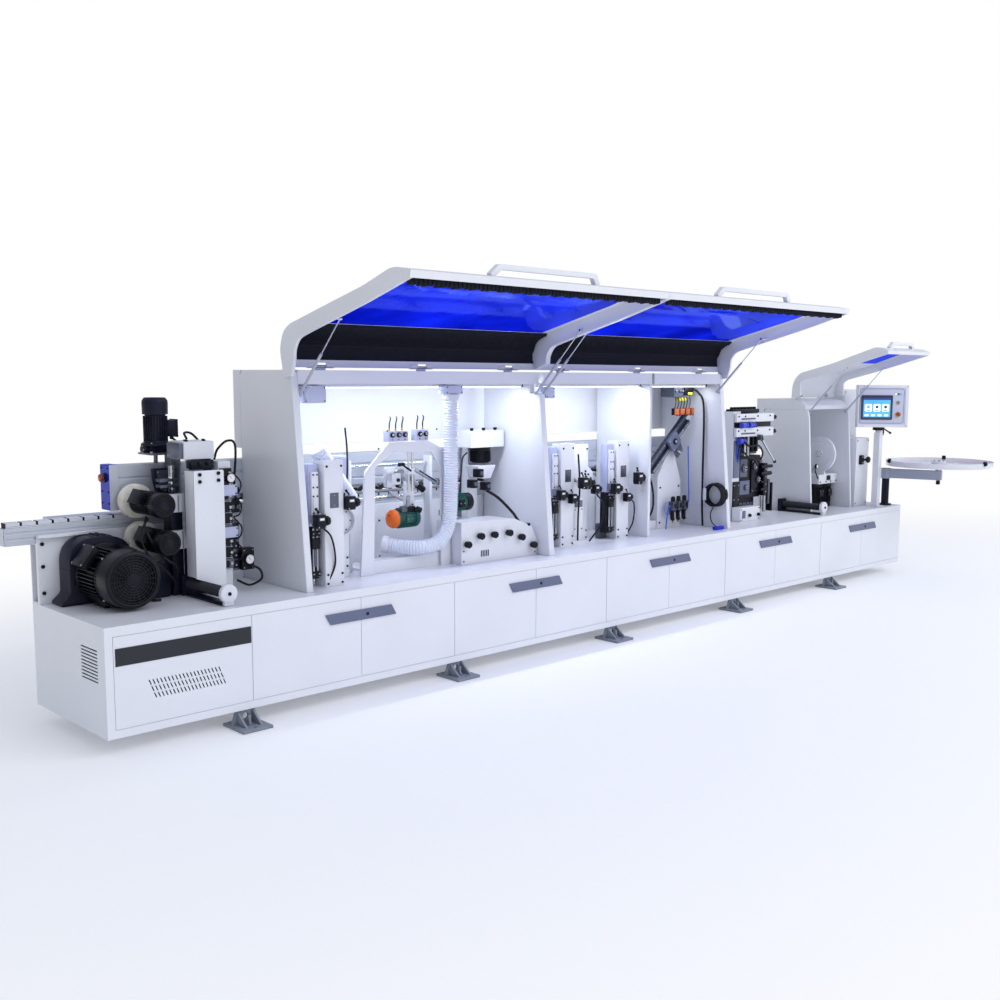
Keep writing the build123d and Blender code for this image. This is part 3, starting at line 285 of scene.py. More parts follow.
def window_material():
    """Blue see-through sheet: tinted light passes, scatters and mirrors, and a faint painted glow
    is added.
    """
    made = bpy.data.materials.new("window_blue")
    made.use_nodes = True
    tree = made.node_tree
    tree.nodes.clear()
    place = add_node(tree, "TexCoord").outputs["Object"]
    cloud = add_node(tree, "TexNoise", {
        "Vector": place, "Scale": 2.2, "Detail": 4}).outputs["Fac"]
    tint = colour_ramp(tree, cloud, (0.35, (0.004, 0.018, 0.55, 1)),
                       (0.72, (0.02, 0.08, 0.98, 1)))
    waves = add_node(tree, "Bump", {
        "Strength": 0.15, "Distance": 0.01, "Height": cloud}).outputs["Normal"]
    clear = add_node(tree, "BsdfTransparent", {"Color": tint}).outputs[0]
    milky = add_node(tree, "BsdfTranslucent", {"Color": tint}).outputs[0]
    mirror = add_node(tree, "BsdfGlossy", {
        "Roughness": 0.06, "Color": (0.28, 0.42, 1, 1), "Normal": waves}).outputs[0]
    fresnel = add_node(tree, "Fresnel", {"IOR": 1.5, "Normal": waves}).outputs[0]
    sheet = mix_shader(tree, fresnel, mix_shader(tree, 0.45, clear, milky), mirror)
    # painted glow: emission lights the window though it is no lamp
    glow = add_node(tree, "Emission", {"Strength": 0.26, "Color": tint}).outputs[0]
    total = add_node(tree, "AddShader", {0: sheet, 1: glow}).outputs[0]
    add_node(tree, "OutputMaterial", {"Surface": total})
    made.diffuse_color = (0.02, 0.08, 0.9, 0.5)
    return made


window_blue = window_material()


# ------------------------------------------------------------------ carried-over CAD nodes
def finish(name, *materials, pick=None, bevel=1.2, segments=2):
    """Materials and rounded edges for a CAD node.

    pick(x, y, z, normal), with a face's centre in mm, gives its material's index;
    bevel is in mm.
    """
    node = NODES[name]
    mesh = node.data
    mesh.materials.clear()
    for entry in materials:
        mesh.materials.append(entry)
    for face in mesh.polygons:
        x, y, z = face.center
        face.material_index = int(pick(
            (x - ORIGIN.x) * 1000, (y - ORIGIN.y) * 1000, z * 1000, face.normal)) if pick else 0
    if bevel:
        weld = node.modifiers.new("weld", "WELD")
        weld.merge_threshold = 0.00002
        planar = node.modifiers.new("planar", "DECIMATE")
        planar.decimate_type = "DISSOLVE"
        planar.angle_limit = math.radians(0.6)
        planar.delimit = {"MATERIAL"}
        edge = node.modifiers.new("edge", "BEVEL")
        edge.width = bevel / 1000
        edge.segments = segments
        edge.limit_method = "ANGLE"
        edge.angle_limit = math.radians(40)
        edge.harden_normals = False
        edge.use_clamp_overlap = True
        edge.miter_outer = "MITER_ARC"


def chain_beam_dark(x, y, z, normal):
    return (z > 974.5 or x < -143) and normal.z < 0.5 and y < 722


def roof_steel(x, y, z, normal):
    level = 1749 if z > 1600 else 1556
    return z > 1531 and abs(z - level) < 10 and 240 < y < 445


def finish_cad():
    # the cabinet's inner faces take the dark painted shade
    finish("base_cabinet", white, inside, bevel=0, pick=lambda x, y, z, normal:
           8 < x < 7282 and 12 < y < 782 and 92 < z < 588)
    # the fixed panels' front faces under the overhang, at the left end, take the painted shadow
    finish("fixed_panels", white, overhang_shadow, bevel=0, pick=lambda x, y, z, normal:
           y < -0.5 and z > 410 and x < 740)
    for number in range(1, 6):
        finish(f"door_{number}", white, slate, plastic, bevel=0.6,
               pick=lambda x, y, z, normal: 2 if y < -8.3 else y < -0.2)
    finish("levelling_feet", grey, bevel=1.5)
    finish("rear_rail", white, plastic, pick=lambda x, y, z, normal:
           x < 34 and y < 699 and z < 910)
    finish("chain_beam", aluminium, dark_grey, pick=chain_beam_dark, bevel=1.0)
    finish("chain_pads", pad_top, rubber, bevel=2.0, pick=lambda x, y, z, normal:
           not ((normal.z > 0.7 and z > 999) or normal.y < -0.7))
    finish("support_rail", lavender, bevel=1.0)
    finish("pressure_beam", aluminium)
    finish("pressure_rollers", rubber, steel, bevel=1.0,
           pick=lambda x, y, z, normal: z > 1044.5)
    finish("beam_end_cap", cap_blue, aluminium, bevel=2.5, segments=3,
           pick=lambda x, y, z, normal: normal.y < -0.7 or normal.y > 0.7)
    finish("enclosure_walls", white, bevel=3.0, segments=3)
    finish("enclosure_roof", white, steel, pick=roof_steel, bevel=1.0)
    for hood in ("left", "centre", "infeed"):
        finish(f"hood_{hood}_shell", white, bevel=2.0, segments=3)
        finish(f"hood_{hood}_window", window_blue, bevel=0)
        finish(f"strut_cylinders_{hood}", strut_grey, bevel=0.8)
        finish(f"strut_rods_{hood}", chrome, bevel=0.5)
    finish("console_post", console_case, bevel=3.0, segments=3)
    finish("tray_post", navy, steel, bevel=1.5, pick=lambda x, y, z, normal: z > 831)
    finish("tray_arm", tray_grey, plastic, bevel=3.0, segments=3,
           pick=lambda x, y, z, normal: z > 915.5 and normal.z > 0.5)
    finish("corner_unit_frame", white, bevel=2.0, segments=3)


# ------------------------------------------------------------------ camera, floor and light
def set_camera():
    data = bpy.data.cameras.new("camera")
    camera = bpy.data.objects.new("camera", data)
    SCENE.collection.objects.link(camera)
    SCENE.camera = camera
    yaw, pitch, roll = (math.radians(angle) for angle in (45.749, 7.2416, 0.327))
    ahead = Vector((math.cos(yaw) * math.cos(pitch), math.sin(yaw) * math.cos(pitch),
                    -math.sin(pitch)))
    level_right = ahead.cross(Vector((0, 0, 1))).normalized()
    level_up = level_right.cross(ahead)
    right = level_right * math.cos(roll) + level_up * math.sin(roll)
    upward = level_up * math.cos(roll) - level_right * math.sin(roll)
    place = (-5.880, -4.766, 1.700)
    camera.matrix_world = Matrix(
        [(right[i], upward[i], -ahead[i], place[i]) for i in range(3)] + [(0, 0, 0, 1)])
    data.sensor_width = 36
    data.lens = 40.476
    data.shift_x, data.shift_y = -0.0153, 0.0199
    data.clip_end = 200


def lay_floor():
    """Pale floor that fades to pure white away from the machine."""
    made = bpy.data.materials.new("stage_floor")
    made.use_nodes = True
    tree = made.node_tree
    shader = tree.nodes["Principled BSDF"]
    cloud = add_node(tree, "TexNoise", {"Scale": 1.5}).outputs["Fac"]
    tint = colour_ramp(tree, cloud, (0, (0.86, 0.87, 0.89, 1)), (1, (0.9, 0.905, 0.92, 1)))
    feed(tree, shader, {"Roughness": 0.9, "Base Color": tint,
                        "Emission Color": (1, 1, 1, 1), "Emission Strength": 0.12})
    place = add_node(tree, "TexCoord").outputs["Object"]
    squeezed = add_node(tree, "Mapping", {"Vector": place, "Scale": (0.55, 1.0, 1.0)})
    reach = add_node(tree, "VectorMath", {0: squeezed.outputs["Vector"]}, operation="LENGTH")
    fade = add_node(tree, "MapRange", {
        "Value": reach.outputs["Value"], "From Min": 2.2, "From Max": 5.5},
        interpolation_type="SMOOTHSTEP").outputs["Result"]
    glow = add_node(tree, "Emission", {"Color": (1, 1, 1, 1)}).outputs[0]
    feed(tree, tree.nodes["Material Output"],
         {"Surface": mix_shader(tree, fade, shader.outputs[0], glow)})
    mesh = bpy.data.meshes.new("stage_floor")
    grid_mesh = bmesh.new()
    bmesh.ops.create_grid(grid_mesh, x_segments=8, y_segments=8, size=60)
    grid_mesh.to_mesh(mesh)
    grid_mesh.free()
    floor = bpy.data.objects.new("stage_floor", mesh)
    mesh.materials.append(made)
    SCENE.collection.objects.link(floor)
    floor.location.z = -0.001


def set_world():
    """White to the camera; a soft sky, brighter above and in front, lights the machine."""
    world = bpy.data.worlds.new("studio")
    SCENE.world = world
    world.use_nodes = True
    tree = world.node_tree
    tree.nodes.clear()
    backdrop = add_node(tree, "Background", {"Color": (1, 1, 1, 1), "Strength": 1.0}).outputs[0]
    sight = add_node(tree, "TexCoord").outputs["Generated"]
    strength = 0.38
    # direction, gain
    for direction, gain in (((0, 0, 1), 0.55), ((0.25, -0.968, 0), 0.42), ((-1, 0, 0), -0.21)):
        facing = calc(tree, "MAXIMUM", dot_product(tree, sight, direction), 0)
        strength = calc(tree, "ADD", calc(tree, "MULTIPLY", facing, gain), strength)
    sky = add_node(tree, "Background", {"Color": (0.86, 0.90, 1.0, 1), "Strength": strength})
    seen = add_node(tree, "LightPath").outputs["Is Camera Ray"]
    add_node(tree, "OutputWorld", {"Surface": mix_shader(tree, seen, sky.outputs[0], backdrop)})


def area_light(name, place, target, *, size, power, colour):
    """Rectangular lamp; size is (width, height) in metres, power in watts."""
    data = bpy.data.lights.new(name, "AREA")
    data.shape = "RECTANGLE"
    data.size, data.size_y = size
    data.energy = power
    data.color = colour
    lamp = bpy.data.objects.new(name, data)
    SCENE.collection.objects.link(lamp)
    lamp.location = place
    lamp.rotation_mode = "QUATERNION"
    lamp.rotation_quaternion = (Vector(target) - Vector(place)).to_track_quat("-Z", "Y")
    lamp.visible_camera = False


def set_lights():
    area_light("key", (1.5, -6.5, 6.5), (0.3, 0, 0.8), size=(9, 3), power=190,
               colour=(1.0, 0.99, 0.97))
    area_light("side", (7.5, -3.5, 3.5), (1.5, 0, 0.9), size=(4, 3), power=40,
               colour=(0.95, 0.97, 1.0))
    # lighting built into the hoods: name, x range, power
    for name, x0, x1, power in (("lamp_left", 1220, 2820, 8), ("lamp_centre", 3000, 3970, 6),
                                ("lamp_right", 4075, 4725, 1.2)):
        left, right = to_frame(x0, 288, 1634), to_frame(x1, 288, 1634)
        middle = (left + right) / 2
        area_light(name, middle, middle + Vector((0, 0.25, -1)), power=power,
                   size=((right - left).length, 0.05), colour=(0.86, 0.92, 1.0))
    SCENE.view_settings.view_transform = "Standard"
    SCENE.view_settings.look = "None"
    SCENE.view_settings.exposure = 0.0


# ------------------------------------------------------------------ geometry helpers, mm
def on_axis(axis, centre, along):
    """Point on an axis whose place across it is `centre`."""
    first, second = centre
    return {"X": (along, first, second), "Y": (first, along, second),
            "Z": (first, second, along)}[axis]


def turn_about(axis, centre, angle):
    pivot = Vector(on_axis(axis, centre, 0))
    return Matrix.Translation(pivot) @ Matrix.Rotation(angle, 4, axis) @ Matrix.Translation(-pivot)


def each(make, *rows):
    """Call make with each row of arguments."""
    for row in rows:
        make(*row)


def grid(firsts, seconds):
    return [(a, b) for a in firsts for b in seconds]


def circle(centre, radius, count, first=0.0):
    """Places evenly spaced round a centre."""
    angles = [first + 2 * math.pi * k / count for k in range(count)]
    return [(centre[0] + radius * math.cos(a), centre[1] + radius * math.sin(a)) for a in angles]


def lobed(count, depth):
    """Radius factor round a hand grip."""
    return lambda angle: 1 - depth * (0.5 - 0.5 * math.cos(count * angle))


def bend(before, corner, after, cut, steps):
    """Quadratic curve that starts and ends `cut` away from a corner."""
    start, end = ([corner[i] + (point[i] - corner[i]) * cut / math.dist(point, corner)
                   for i in (0, 1)] for point in (before, after))
    return [tuple((1 - w) ** 2 * start[i] + 2 * w * (1 - w) * corner[i] + w * w * end[i]
                  for i in (0, 1)) for w in (j / steps for j in range(steps + 1))]


def fillet(points):
    """Round the corners of a closed outline whose points carry a third value, a radius."""
    rounded = []
    for i, point in enumerate(points):
        corner = tuple(point[:2])
        radius = point[2] if len(point) > 2 else 0
        if not radius:
            rounded.append(corner)
            continue
        before, after = points[i - 1][:2], points[(i + 1) % len(points)][:2]
        to_before, to_after = math.dist(before, corner), math.dist(after, corner)
        cosine = sum((before[k] - corner[k]) * (after[k] - corner[k])
                     for k in (0, 1)) / (to_before * to_after)
        half = math.acos(max(-1, min(1, cosine))) / 2
        cut = min(radius / math.tan(half), to_before * 0.49, to_after * 0.49)
        rounded += bend(before, corner, after, cut, max(3, int(radius / 8) + 3))
    return rounded


def spline(points, steps):
    """Catmull-Rom through 3-D points."""
    knots = [Vector(point) for point in points]
    knots = [knots[0] * 2 - knots[1]] + knots + [knots[-1] * 2 - knots[-2]]
    path = []
    for i in range(1, len(knots) - 2):
        a, b, c, d = knots[i - 1:i + 3]
        for j in range(steps):
            t = j / steps
            path.append(0.5 * ((2 * b) + (c - a) * t + (2 * a - 5 * b + 4 * c - d) * t * t
                               + (-a + 3 * b - 3 * c + d) * t ** 3))
    path.append(knots[-2])
    return path


def stations(path, pitch, per_pitch=1):
    """Even steps along a path: (start and end of the stretch, share of it, distance)."""
    lengths = [0.0]
    for a, b in zip(path, path[1:]):
        lengths.append(lengths[-1] + math.dist(a, b))
    count = int(lengths[-1] / pitch * per_pitch)
    j = 0
    for k in range(count + 1):
        distance = lengths[-1] * k / count
        while j < len(lengths) - 2 and lengths[j + 1] < distance:
            j += 1
        share = (distance - lengths[j]) / (lengths[j + 1] - lengths[j])
        yield path[j], path[j + 1], share, distance


def tube_faces(rings, segments, closed):
    """Faces that join rings of points; the ends are capped unless the last meets the first."""
    faces = []
    for i in range(rings if closed else rings - 1):
        a, b = i * segments, (i + 1) % rings * segments
        for k in range(segments):
            j = (k + 1) % segments
            faces.append((a + k, a + j, b + j, b + k))
    if not closed:
        faces.append(range(segments)[::-1])
        faces.append(range((rings - 1) * segments, rings * segments))
    return faces


class Piece:
    """One visible piece, gathered from closed solids."""

    def __init__(self, name):
        self.name = name
        self.materials, self.points, self.faces, self.slots = [], [], [], []

    def add(self, points, faces, material, turn=None):
        start = len(self.points)
        self.points += [turn @ Vector(q) if turn else Vector(q) for q in points]
        if material not in self.materials:
            self.materials.append(material)
        self.faces += [[start + k for k in face] for face in faces]
        self.slots += [self.materials.index(material)] * len(faces)

    def add_bevelled(self, solid, material, bevel, turn):
        if bevel:
            sharp = [edge for edge in solid.edges if len(edge.link_faces) == 2
                     and edge.calc_face_angle(0) > math.radians(30)]
            if sharp:
                bmesh.ops.bevel(solid, geom=sharp, offset=bevel, segments=2, profile=0.6,
                                affect="EDGES", clamp_overlap=True)
        solid.verts.index_update()
        self.add([vert.co for vert in solid.verts],
                 [[vert.index for vert in face.verts] for face in solid.faces], material, turn)
        solid.free()

    def box(self, x0, x1, y0, y1, z0, z1, material, bevel, turn=None):
        solid = bmesh.new()
        bmesh.ops.create_cube(solid, size=1)
        for vert in solid.verts:
            x, y, z = vert.co
            vert.co = Vector((x0 + (x + 0.5) * (x1 - x0), y0 + (y + 0.5) * (y1 - y0),
                              z0 + (z + 0.5) * (z1 - z0)))
        thinnest = min(x1 - x0, y1 - y0, z1 - z0)
        self.add_bevelled(solid, material, min(bevel, thinnest * 0.3), turn)

    def prism(self, axis, outline, start, end, material, bevel, turn=None):
        """Outline across an axis, drawn out from start to end."""
        outline = fillet(outline)
        solid = bmesh.new()
        low, high = ([solid.verts.new(on_axis(axis, q, level)) for q in outline]
                     for level in (start, end))
        solid.faces.new(low)
        solid.faces.new(high[::-1])
        for i in range(len(outline)):
            j = (i + 1) % len(outline)
            solid.faces.new((low[i], high[i], high[j], low[j]))
        bmesh.ops.recalc_face_normals(solid, faces=solid.faces)
        self.add_bevelled(solid, material, bevel, turn)

    def turned(self, start, towards, profile, material, segments=32, turn=None, lobes=None,
               hollow=False):
        """Turned solid; profile rows are distance from start and radius."""
        start = Vector(start)
        along = (Vector(towards) - start).normalized()
        side = along.orthogonal().normalized()
        other = along.cross(side)
        points = []
        for distance, radius in profile:
            for k in range(segments):
                angle = 2 * math.pi * k / segments
                reach = radius * (lobes(angle) if lobes else 1)
                points.append(start + along * distance
                              + (side * math.cos(angle) + other * math.sin(angle)) * reach)
        self.add(points, tube_faces(len(profile), segments, hollow), material, turn)

    def cylinder(self, axis, centre, radius, start, end, material, chamfer=1.5, segments=32,
                 turn=None):
        length = end - start
        cut = min(chamfer, radius * 0.4, length * 0.4)
        profile = [(0, radius - cut), (cut * 0.3, radius - cut * 0.3), (cut, radius),
                   (length - cut, radius), (length - cut * 0.3, radius - cut * 0.3),
                   (length, radius - cut)]
        self.turned(on_axis(axis, centre, start), on_axis(axis, centre, end), profile,
                    material, segments, turn)

    def rod(self, start, end, radius, material):
        length = (Vector(end) - Vector(start)).length
        cut = min(1, radius * 0.4, length * 0.3)
        self.turned(start, end, [(0, radius - cut), (cut, radius), (length - cut, radius),
                                 (length, radius - cut)], material, 20)

    def pipe(self, axis, centre, radius, bore, start, end, material, segments=32, chamfer=1,
             turn=None):
        length = end - start
        profile = [(0, bore), (0, radius - chamfer), (chamfer, radius),
                   (length - chamfer, radius), (length, radius - chamfer), (length, bore)]
        self.turned(on_axis(axis, centre, start), on_axis(axis, centre, end), profile,
                    material, segments, turn, hollow=True)

    def ring(self, centre, normal, radius, wire, material, around, section, turn=None):
        centre, normal = Vector(centre), Vector(normal).normalized()
        side = normal.orthogonal().normalized()
        other = normal.cross(side)
        angles = [2 * math.pi * k / around for k in range(around)]
        path = [centre + (side * math.cos(a) + other * math.sin(a)) * radius for a in angles]
        self.sweep(path, wire, material, section, closed=True, turn=turn)

    def sweep(self, path, radius, material, segments, closed=False, turn=None):
        """Round section along a path; radius may be a function of the distance."""
        path = [Vector(point) for point in path]
        count = len(path)
        tangents = []
        for i in range(count):
            before = path[(i - 1) % count] if closed or i else path[0]
            after = path[(i + 1) % count] if closed or i < count - 1 else path[-1]
            tangents.append((after - before).normalized())
        side = tangents[0].orthogonal().normalized()
        points, distance = [], 0.0
        for i in range(count):
            side = (side - tangents[i] * side.dot(tangents[i])).normalized()
            other = tangents[i].cross(side)
            if i:
                distance += (path[i] - path[i - 1]).length
            reach = radius(distance) if callable(radius) else radius
            for k in range(segments):
                angle = 2 * math.pi * k / segments
                points.append(path[i] + (side * math.cos(angle) + other * math.sin(angle)) * reach)
        self.add(points, tube_faces(count, segments, closed), material, turn)

    def tube(self, points, radius, material, segments=10, steps=8, turn=None):
        self.sweep(spline(points, steps), radius, material, segments, turn=turn)

    def hose(self, points, radius, pitch, depth):
        """Ribbed white hose; depth is half the height of a rib."""
        path = [a.lerp(b, share) for a, b, share, _ in stations(spline(points, 24), pitch, 6)]
        self.sweep(path, lambda s: radius - depth + depth * math.cos(2 * math.pi * s / pitch),
                   hose_white, 32)

    def screws(self, axis, face, side, radius, places, material=plastic, turn=None):
        """Socket cap screws whose heads stand from a face towards side (1 or -1)."""
        high = radius * 0.9
        profile = [(0, radius), (high - radius * 0.2, radius), (high, radius * 0.82),
                   (high, radius * 0.5), (high * 0.5, radius * 0.42)]
        for place in places:
            self.turned(on_axis(axis, place, face), on_axis(axis, place, face + side),
                        profile, material, 16, turn)

    def nuts(self, axis, places, radius, start, end, material=steel):
        for place in places:
            self.prism(axis, circle(place, radius, 6), start, end, material, radius * 0.1)

    def fins(self, axis, centre, inner, outer, start, end, count, thick, material, skip=()):
        """Cooling fins round a motor; skip lists the angle ranges left bare, in degrees."""
        first, second = centre
        low = on_axis(axis, (first + inner, second - thick / 2), start)
        high = on_axis(axis, (first + outer, second + thick / 2), end)
        for k in range(count):
            angle = 2 * math.pi * k / count
            if not any(a <= math.degrees(angle) <= b for a, b in skip):
                self.box(low[0], high[0], low[1], high[1], low[2], high[2], material, 0.6,
                         turn_about(axis, centre, angle))

    def done(self, body, slot, *replaces, smooth=35):
        """Make the object; edges sharper than `smooth` degrees stay sharp."""
        mesh = bpy.data.meshes.new(self.name)
        mesh.from_pydata([to_frame(*point) for point in self.points], [], self.faces)
        for entry in self.materials:
            mesh.materials.append(entry)
        mesh.polygons.foreach_set("material_index", self.slots)
        solid = bmesh.new()
        solid.from_mesh(mesh)
        bmesh.ops.recalc_face_normals(solid, faces=solid.faces)
        solid.to_mesh(mesh)
        solid.free()
        mesh.validate(clean_customdata=False)
        mesh.polygons.foreach_set("use_smooth", [True] * len(mesh.polygons))
        mesh.set_sharp_from_angle(angle=math.radians(smooth))
        made = bpy.data.objects.new(self.name, mesh)
        SCENE.collection.objects.link(made)
        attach(made, body)
        if replaces:
            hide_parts(*replaces)


# ------------------------------------------------------------------ repeated details
def fan_cowl(part, centre, radius, front, back):
    """Motor fan cowl along Y: hollow cup with a rolled front edge, open to the front."""
    deep = back - front
    ends = on_axis("Y", centre, front), on_axis("Y", centre, back)
    part.turned(*ends, [
        (deep * 0.45, 2), (deep * 0.45, radius * 0.80), (2, radius * 0.84), (0, radius * 0.87),
        (0, radius * 0.90), (3, radius * 0.95), (7.2, radius * 0.985), (16, radius),
        (deep - 6, radius), (deep - 6, radius * 1.015), (deep, radius * 1.015), (deep, 2)],
        black, 56)
    # dark disc behind the grille: painted shade inside the cowl
    part.turned(*ends, [(deep * 0.46, 1), (deep * 0.46, radius * 0.8),
                        (deep * 0.5, radius * 0.8), (deep * 0.5, 1)], inside, 40)


def fan_grille(part, centre, y, radius, rings=5, spokes=16):
    x, z = centre
    for k in range(rings):
        part.ring((x, y - 1, z), (0, 1, 0), radius * (0.26 + 0.66 * k / (rings - 1)), 2.2,
                  black, 44, 8)
    for k in range(spokes):
        part.box(x + radius * 0.2, x + radius * 0.96, y - 1.6, y + 1.6, z - 1.6, z + 1.6,
                 black, 0.4, turn_about("Y", centre, 2 * math.pi * k / spokes))
    part.cylinder("Y", centre, radius * 0.24, y - 3, y + 3, black, 1.5, 24)


def gauge(part, centre, y, radius):
    """Pressure gauge facing the front, with a pale dial, scale marks and a needle."""
    x, z = centre
    ends = (x, y, z), (x, y - 1, z)
    part.turned(*ends, [(0, radius * 0.8), (4, radius), (20, radius), (22, radius * 0.97),
                        (22, radius * 0.86), (19, radius * 0.84)], plastic, 40)
    part.turned(*ends, [(15, radius * 0.6), (19.6, radius * 0.84), (20.2, radius * 0.83)],
                dial, 40)
    for k in range(11):
        part.box(x - 0.6, x + 0.6, y - 20.9, y - 20.4, z + radius * 0.6, z + radius * 0.76,
                 plastic, 0.1, turn_about("Y", centre, math.radians(-135 + 27 * k)))
    part.box(x - 0.9, x + 0.9, y - 21.6, y - 20.6, z - radius * 0.2, z + radius * 0.6,
             red, 0.2, turn_about("Y", centre, math.radians(-40)))


# ------------------------------------------------------------------ drives
def main_motor():
    part = Piece("main_motor")
    part.prism("Y", [(52, DECK), (52, 612), (95, 650, 30), (95, 920, 160), (425, 920, 160),
                     (425, DECK)], 565, 690, navy, 8)
    for k in range(19):
        part.box(92, 110, 572, 682, 758, 762, navy, 1,
                 turn_about("Y", (260, 760), math.radians(-8 + 10.5 * k)))
    part.screws("Y", 545, -1, 9, [(125, 700), (125, 800), (395, 700), (395, 640)])
    part.cylinder("Y", MAIN_MOTOR, 124, 345, 566, black, 2, 64)
    part.fins("Y", MAIN_MOTOR, 120, 148, 352, 540, 48, 4.2, black, ((255, 285), (205, 222)))
    part.cylinder("Y", MAIN_MOTOR, 146, 538, 566, black, 5, 64)
    fan_cowl(part, MAIN_MOTOR, 138, 236, 352)
    fan_grille(part, MAIN_MOTOR, 241, 118, 7, 24)
    part.screws("Y", 350, -1, 5.5, circle(MAIN_MOTOR, 141, 4, math.pi / 4), steel)
    each(part.box, (190, 214, 405, 525, 596, 640, black, 3),
         (310, 334, 405, 525, 596, 640, black, 3), (206, 318, 420, 510, 612, 660, black, 5))
    part.nuts("Z", grid((200, 324), (440, 490)), 9, 640, 650)
    # terminal box on the motor's left shoulder
    turn = turn_about("Y", MAIN_MOTOR, math.radians(-52))
    each(part.box, (208, 316, 420, 530, 875, 912, black, 6, turn),
         (204, 320, 416, 534, 912, 920, black, 4, turn))
    part.screws("Z", 920, 1, 4, grid((212, 312), (424, 526)), steel, turn)
    part.tube([(395, 500, 660), (420, 480, 640), (432, 440, 606), (440, 400, 604),
               (470, 392, 604)], 7, rubber, 12)
    part.done("base", "dark_steel", "drive_motor")


def height_drive():
    part = Piece("beam_height_drive")
    x, y = LIFT_MOTOR
    part.cylinder("Z", LIFT_MOTOR, 52, 1352, 1505, navy, 2, 48)
    part.fins("Z", LIFT_MOTOR, 48, 61, 1362, 1492, 28, 3.0, navy, ((355, 360), (0, 5)))
    part.cylinder("Z", LIFT_MOTOR, 62, 1350, 1364, navy, 3, 48)
    part.turned((x, y, 1500), (x, y, 1600), [
        (0, 62), (0, 64), (60, 65), (72, 63), (80, 57), (86, 52), (86, 20), (80, 18)], navy, 56)
    part.screws("Z", 1352, 1, 5, circle(LIFT_MOTOR, 66, 4, math.pi / 4), steel)
    # terminal box
    each(part.box, (690, 738, 690, 766, 1385, 1470, navy, 5),
         (736, 744, 687, 769, 1381, 1474, navy, 4))
    part.screws("X", 744, 1, 3.5, grid((694, 762), (1388, 1467)), steel)
    part.cylinder("Y", (716, 1378), 9, 700, 715, plastic, 2)
    # gearbox with its cross shaft
    part.cylinder("Z", LIFT_MOTOR, 75, 1339, 1352, navy, 3, 56)
    part.box(590, 688, 690, 768, 1307, 1339, navy, 5)
    shaft = (y, 1322)
    part.cylinder("X", shaft, 26, 562, 600, navy, 3)
    part.cylinder("X", shaft, 20, 686, 720, steel, 2)
    part.screws("X", 562, -1, 3, circle(shaft, 19, 6), steel)
    thread = [(0, 9)]
    for k in range(52):
        thread += [(1 + k * 2, 9.5), (2 + k * 2, 12)]
    part.turned((x, LIFT_Y, 1200), (x, LIFT_Y, 1306), thread + [(106, 9)], steel, 20)
    # column and its head plate
    each(part.box, (660, 722, 630, 684, 596, 1295, iron, 3),
         (664, 718, 627, 631, 640, 1280, steel, 1))
    part.screws("Y", 627, -1, 4, grid((691,), range(680, 1280, 60)))
    part.box(560, 760, 630, 772, 1296, 1306, iron, 2)
    part.nuts("Z", grid((575, 745), (650,)), 9, 1306, 1314)
    part.prism("Y", [(583, 1226, 6), (640, 1226), (692, 1226, 6), (676, 1120, 20),
                     (640, 1086, 24), (602, 1110, 24), (588, 1170, 10)], 650, 684, navy, 6)
    part.prism("Y", [(596, 1218, 4), (640, 1218), (680, 1218, 4), (664, 1124, 16),
                     (640, 1100, 18), (612, 1118, 16)], 646, 650.5, dark_grey, 1)
    part.screws("Y", 646, -1, 4, [(602, 1208), (674, 1208), (640, 1112)], steel)
    part.tube([(716, 700, 1378), (730, 640, 1340), (745, 600, 1290), (742, 585, 1180),
               (735, 590, 900), (730, 600, 640)], 6, rubber)
    part.done("base", "dark_steel", "lift_motor")


# ------------------------------------------------------------------ buffing
def buffing_motor(part, shaft):
    """Finned motor along Y with a terminal box on its left shoulder."""
    x, z = shaft
    radius, front, body, back = 60, 330, 378, 590
    part.cylinder("Y", shaft, radius - 12, body - 4, back, black, 2, 48)
    part.fins("Y", shaft, radius - 14, radius, body + 4, back - 16, 30, 3.2, black)
    part.cylinder("Y", shaft, radius, back - 16, back, black, 3, 48)
    fan_cowl(part, shaft, radius + 2, front, body + 4)
    fan_grille(part, shaft, front + 4, (radius + 2) * 0.86)
    part.screws("Y", body - 20, -1, 5, circle(shaft, radius - 7, 4, math.pi / 4), steel)
    turn = turn_about("Y", shaft, math.radians(-62))
    each(part.box, (x - 34, x + 34, 440, 530, z + 48, z + 84, black, 5, turn),
         (x - 37, x + 37, 437, 533, z + 84, z + 90, black, 3, turn))
    part.cylinder("Z", (x, 460), 8, z + 70, z + 90, plastic, 2, 16, turn)
    part.cylinder("Y", shaft, 34, back, 597, steel, 2)


